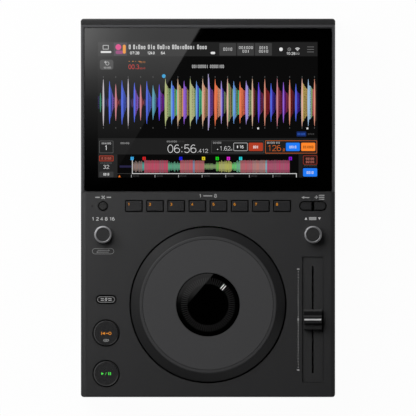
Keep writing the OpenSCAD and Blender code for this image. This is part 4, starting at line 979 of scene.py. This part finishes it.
# beat by beat: the sound, its stroke's colour and height, and the colours that it dies away through
WAVE_BEATS = """
click white 135 steel plum
drum blue 124 blue purple plum
click pink 106 crimson steel
drum blue 128 blue blue steel
click white 138 steel plum
drum blue 115 purple purple plum
click pink 104 crimson steel
drum blue 124 blue blue steel
drum cyan 100 cyan steel night
dry violet 105 purple grape night
rich khaki 138 khaki sage moss
rich sky 126 blue moss green
rich tan 138 gold brown salmon
rich purple 126 purple brown umber
rich khaki 139 khaki khaki moss
rich sky 124 blue green green
rich tan 139 salmon brown brown
dry lilac 146 purple magenta
rich orange 136 orange salmon salmon
dry lilac 124 violet sage sage
rich peach 139 sage brown moss
rich sky 124 sky moss green
rich orange 120 orange orange crimson
rich lilac 126 lilac sage sage
dry tan 138 crimson umber umber
dry violet 117 purple magenta plum
dry salmon 136 red red magenta
dry blue 112 violet night plum
dry pink 138 crimson magenta wine
dry purple 118 grape magenta magenta
dry salmon 132 red wine wine
dry blue 108 violet night teal
rich peach 139 gold gold gold
rich ice 136 ice sage crimson
rich salmon 136 umber orange orange
"""


def paint(colour, bright):
    """Light of a colour made darker, kept to steps so that strips share it."""
    step = 8
    return lit(*[min(255, round(c * bright / step) * step) for c in colour])


def screen_wave():
    """The large wave with a stroke on each beat, its scale and the play line."""
    film = screen_film("screen_wave", LIFT * 2)
    draw = random.Random(11)
    film.shape(4, -WAVE_ROW, slat(9, 37, 0), paint(SHADES["steel"], 1.0))
    film.shape(20, -WAVE_ROW, slat(12, 24, 0.3), paint(SHADES["teal"], 1.0))
    film.shape(14, -WAVE_ROW, spindle(9, 57), paint(SHADES["green"], 0.75), raised=1)
    for beat, line in enumerate(WAVE_BEATS.split("\n")[1:-1]):
        sound, stroke, height, *tints = line.split()
        bright, shares = SOUNDS[sound]
        height = int(height)
        start = WAVE_START + beat * WAVE_BEAT
        heights = [height * share * draw.uniform(0.94, 1.06) for share in shares]
        slices = len(heights) - 1
        wide = WAVE_BEAT / slices
        for n in range(slices):
            column = start + (n + 0.5) * wide
            if column > WAVE_END or max(heights[n:n + 2]) < 3:
                continue
            before, after, half = heights[n], heights[n + 1], wide / 2 + 0.2
            tint = SHADES[tints[len(tints) * n // slices]]
            film.shape(column, -WAVE_ROW, [(half, -after), (half, after), (-half, before), (-half, -before)],
                       paint(tint, draw.uniform(0.86, 1.0) * bright), raised=n % 2)
        film.shape(start, -WAVE_ROW, spindle(10, height), paint(SHADES[stroke], 1.0), raised=2)
    film.done()
    film = screen_film("screen_wave_scale", LIFT * 5)
    for n in range(18):
        column = WAVE_START + n * 2 * WAVE_BEAT
        for row in (207, 502):
            block(film, column - 2, row - 4, column + 2, row + 4, lit(80))
    block(film, 640, 191, 643.5, 516, lit(178, 170, 206))
    for column in (932, 1219):
        film.shape(column, -505, [(-5, -5), (5, -5), (5, 5), (-5, 5)], lit(225))
    film.done()


OVERVIEW_ROW = 726
OVERVIEW_END = 1116
# where a band starts, how far it reaches, and colour
OVERVIEW_BANDS = [
    (204, 30, (142, 122, 118)), (256, 26, (90, 160, 150)), (268, 37, (184, 88, 106)),
    (407, 26, (98, 160, 132)), (478, 37, (184, 102, 110)), (552, 37, (130, 140, 170)),
    (562, 35, (178, 108, 110)), (618, 17, (128, 150, 104)), (687, 28, (120, 180, 90)),
    (704, 32, (176, 176, 104)), (780, 22, (110, 196, 120)), (806, 34, (104, 190, 140)),
    (828, 37, (184, 106, 114)), (900, 37, (180, 130, 126)), (974, 37, (140, 176, 186)),
    (984, 37, (176, 84, 112)),
]
OVERVIEW_FLAGS = [
    (198, (60, 170, 230)), (268, (214, 36, 40)), (481, (24, 34, 230)), (614, (226, 208, 40)),
    (694, (30, 214, 30)), (759, (226, 40, 214)), (830, (40, 214, 220)), (1120, (140, 20, 214)),
]


def screen_overview():
    """The whole track as a low band, with its marks."""
    film = screen_film("screen_overview", LIFT * 2)
    draw = random.Random(4)
    ends = [band[0] for band in OVERVIEW_BANDS[1:]] + [OVERVIEW_END]
    for (left, reach, colour), right in zip(OVERVIEW_BANDS, ends):
        grey = sum(colour) / 3
        ragged = 0.03 if reach > 34 else 0.16
        count = max(1, round((right - left) / 4.1))
        step = (right - left) / count
        for n in range(count):
            column = left + (n + 0.5) * step
            height = reach * draw.uniform(1 - 2 * ragged, 1 + ragged)
            pale = draw.uniform(-0.3, 0.3)
            mixed = [c + (grey - c) * pale for c in colour]
            for share, point, bright, raised in ((1, 0.06, 0.78, 0), (0.6, 0.3, 0.92, 2)):
                film.shape(column, -OVERVIEW_ROW, slat(step + 0.4, height * share, point),
                           paint(mixed, bright), raised=raised + n % 2)
    film.done()
    film = screen_film("screen_overview_marks", LIFT * 7)
    boxes(film, [
        (197, 688, 201, 769, lit(212)), (198, 765, 1157, 769, lit(212)), (1153, 769, 1157, 789, lit(212)),
        (125, 720, 196, 732, lit(38, 34, 66)), (112, 766, 196, 768, DIM),
    ])
    for n, (column, colour) in enumerate(OVERVIEW_FLAGS, 1):
        block(film, column - 9, 670, column + 9, 689, lit(*colour), 1)
        film.number(column, -680, str(n), 12, lit(*[c // 3 for c in colour]), line=0.2, raised=1)
    for n in range(7):
        column = 192 + 137.5 * n
        block(film, column, 773, column + 3, 789, lit(170))
        words(film, column + 12, column + 46, 781, 9, DIM, (5,))
    film.shape(124, -782, [(-7, -6), (7, -6), (0, 7)], lit(230, 116, 40))
    film.done()


screen_ground()
screen_header()
screen_controls()
screen_wave()
screen_overview()


# ---- rear connectors
def jack_collars():
    """Coloured insulators round the centre holes of the coaxial jacks."""
    facing_back = Matrix.Rotation(math.pi / 2, 4, "X") @ Matrix.Rotation(math.pi, 4, "Y")
    rear = Matrix.Translation((0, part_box("audio_jacks")[1].y, 34 * MM))
    film = Film("jack_collars", rear @ facing_back, "black_plastic")
    for x, name, colour in ((18, "orange", shade(226, 120, 30)), (34, "white", shade(220)),
                            (52, "red", shade(190, 30, 30))):
        film.dot(-x, 0, 3.4, inked("collar_" + name, colour), line=1.4)
    film.done()


jack_collars()


# ---- camera
camera = bpy.data.objects.new("camera", bpy.data.cameras.new("camera"))
bpy.context.collection.objects.link(camera)
camera.data.lens = LENS_LENGTH
camera.data.sensor_width = SENSOR
camera.location = (0, 0, DECK_Z + PICTURE_POINTS * POINT * LENS_LENGTH / SENSOR)
camera.data.clip_end = 100
bpy.context.scene.camera = camera
bpy.context.scene.view_settings.view_transform = "Standard"


# ---- floor, lamps and world
def floor():
    """Wide pale floor that shows as white and keeps the player's shadow."""
    clear_selection()
    bpy.ops.mesh.primitive_circle_add(vertices=96, radius=30, fill_type="NGON")
    made = bpy.context.object
    made.name = "floor"
    f = Finish("pale_floor")
    white = f.node("BsdfDiffuse", None, {"Color": (0.9, 0.9, 0.9, 1)})
    seen = f.ray("Camera") + f.ray("Glossy") + f.ray("Transmission")
    mixed = f.node("MixShader", None, {0: seen * 0.97, 1: white, 2: f.glowing(1.0)})
    made.data.materials.append(f.done(mixed))


def key_lamp():
    """Large soft lamp behind and to the left."""
    data = bpy.data.lights.new("key_lamp", "AREA")
    data.shape, data.size, data.energy = "DISK", 0.95, 9.6
    lamp = bpy.data.objects.new("key_lamp", data)
    bpy.context.collection.objects.link(lamp)
    lamp.location = (-0.45, 0.45, 0.85)
    lamp.rotation_euler = (-lamp.location + Vector((0, 0, 0.05))).to_track_quat("-Z", "Y").to_euler()


def world():
    """Pale round the horizon, more so behind, to the left and at the front right, and dark overhead."""
    made = bpy.data.worlds.new("studio")
    bpy.context.scene.world = made
    f = Finish("studio", made)
    band = 1 - f.along("Z").between(0.2, 0.78) * 0.996
    side = f.along("Y") - f.along("X")
    level = band * (side * 0.24 + 0.62 + side.between(-0.9, -1.35) * 0.95)
    sky = f.node("Background", None, {"Strength": level + f.ray("Camera") * (1 - level)})
    f.done(sky, "OutputWorld")


CARD_Z = 1.55                    # height of the glowing cards


def seen_by_gloss(point, normal):
    """Where the camera's ray meets the cards' height after a flat glossy face turns it away."""
    ray_in = (point - camera.location).normalized()
    ray_out = ray_in - 2 * ray_in.dot(normal) * normal
    return point + ray_out * ((CARD_Z - point.z) / ray_out.z)


def card(name, rows, normal):
    """Soft glowing card that only gloss shows. Each row of points on the face has its own glow."""
    clear_selection()
    columns = len(rows[0])
    bpy.ops.mesh.primitive_grid_add(x_subdivisions=columns - 1, y_subdivisions=len(rows) - 1)
    made = bpy.context.object
    made.name = name
    glow = made.data.attributes.new("glow", "FLOAT", "POINT")
    points = [spot for row in rows for spot in row]
    for corner, (spot, strength) in zip(made.data.vertices, points):
        corner.co = seen_by_gloss(spot, normal)
        glow.data[corner.index].value = strength
    f = Finish(name)
    level = f.node("Attribute", {"attribute_name": "glow"}, out="Fac")
    made.data.materials.append(f.done(f.glowing(level)))
    made.visible_camera = made.visible_diffuse = made.visible_shadow = False


def glass_card():
    """Light across the left of the glass, with a slanting edge, brightest in the rear corner."""
    edge_x, edge_y, slant = -0.0079, 0.1766, 0.588        # a point on the edge, and how it runs
    left = -0.13
    rows = []
    for y, level, corner_level in (
            (0.180, 1.26, 1.4), (0.165, 1.22, 1.2), (0.150, 1.14, 0.75), (0.135, 0.92, 0.35),
            (0.125, 0.74, 0.15), (0.106, 0.38, 0), (0.085, 0.21, 0), (0.067, 0.11, 0), (0.037, 0.03, 0),
            (0.018, 0, 0)):
        edge = edge_x - (edge_y - y) * slant
        z = glass_high.z + (y - glass_high.y) * math.tan(TILT)
        row = []
        for share in (0, 0.1, 0.2, 0.3, 0.45, 0.7, 1):
            x = left + (edge - left) * share
            near_corner = min(1, max(0, (-0.06 - x) / 0.06)) ** 1.6
            row.append((Vector((x, y, z)), level * (1 + corner_level * near_corner)))
        rows.append(row)
    card("glass_card", rows, Vector((0, -math.sin(TILT), math.cos(TILT))))


def window_card():
    """The same over the jog wheel's window."""
    edge_x, edge_y, slant = 0.0059, -0.0641, 0.855
    left = -0.04
    z = top_of("jog_window")
    rows = []
    for y, level in ((-0.058, 0.95), (-0.0625, 0.85), (-0.066, 0.6), (-0.075, 0.53), (-0.084, 0.4),
                     (-0.0885, 0.18), (-0.094, 0.05), (-0.105, 0.02), (-0.12, 0)):
        edge = edge_x - (edge_y - y) * slant
        rows.append([(Vector((x, y, z)), level) for x in (left, (left + edge) / 2, edge)])
    card("window_card", rows, Vector((0, 0, 1)))


floor()
key_lamp()
world()
glass_card()
window_card()
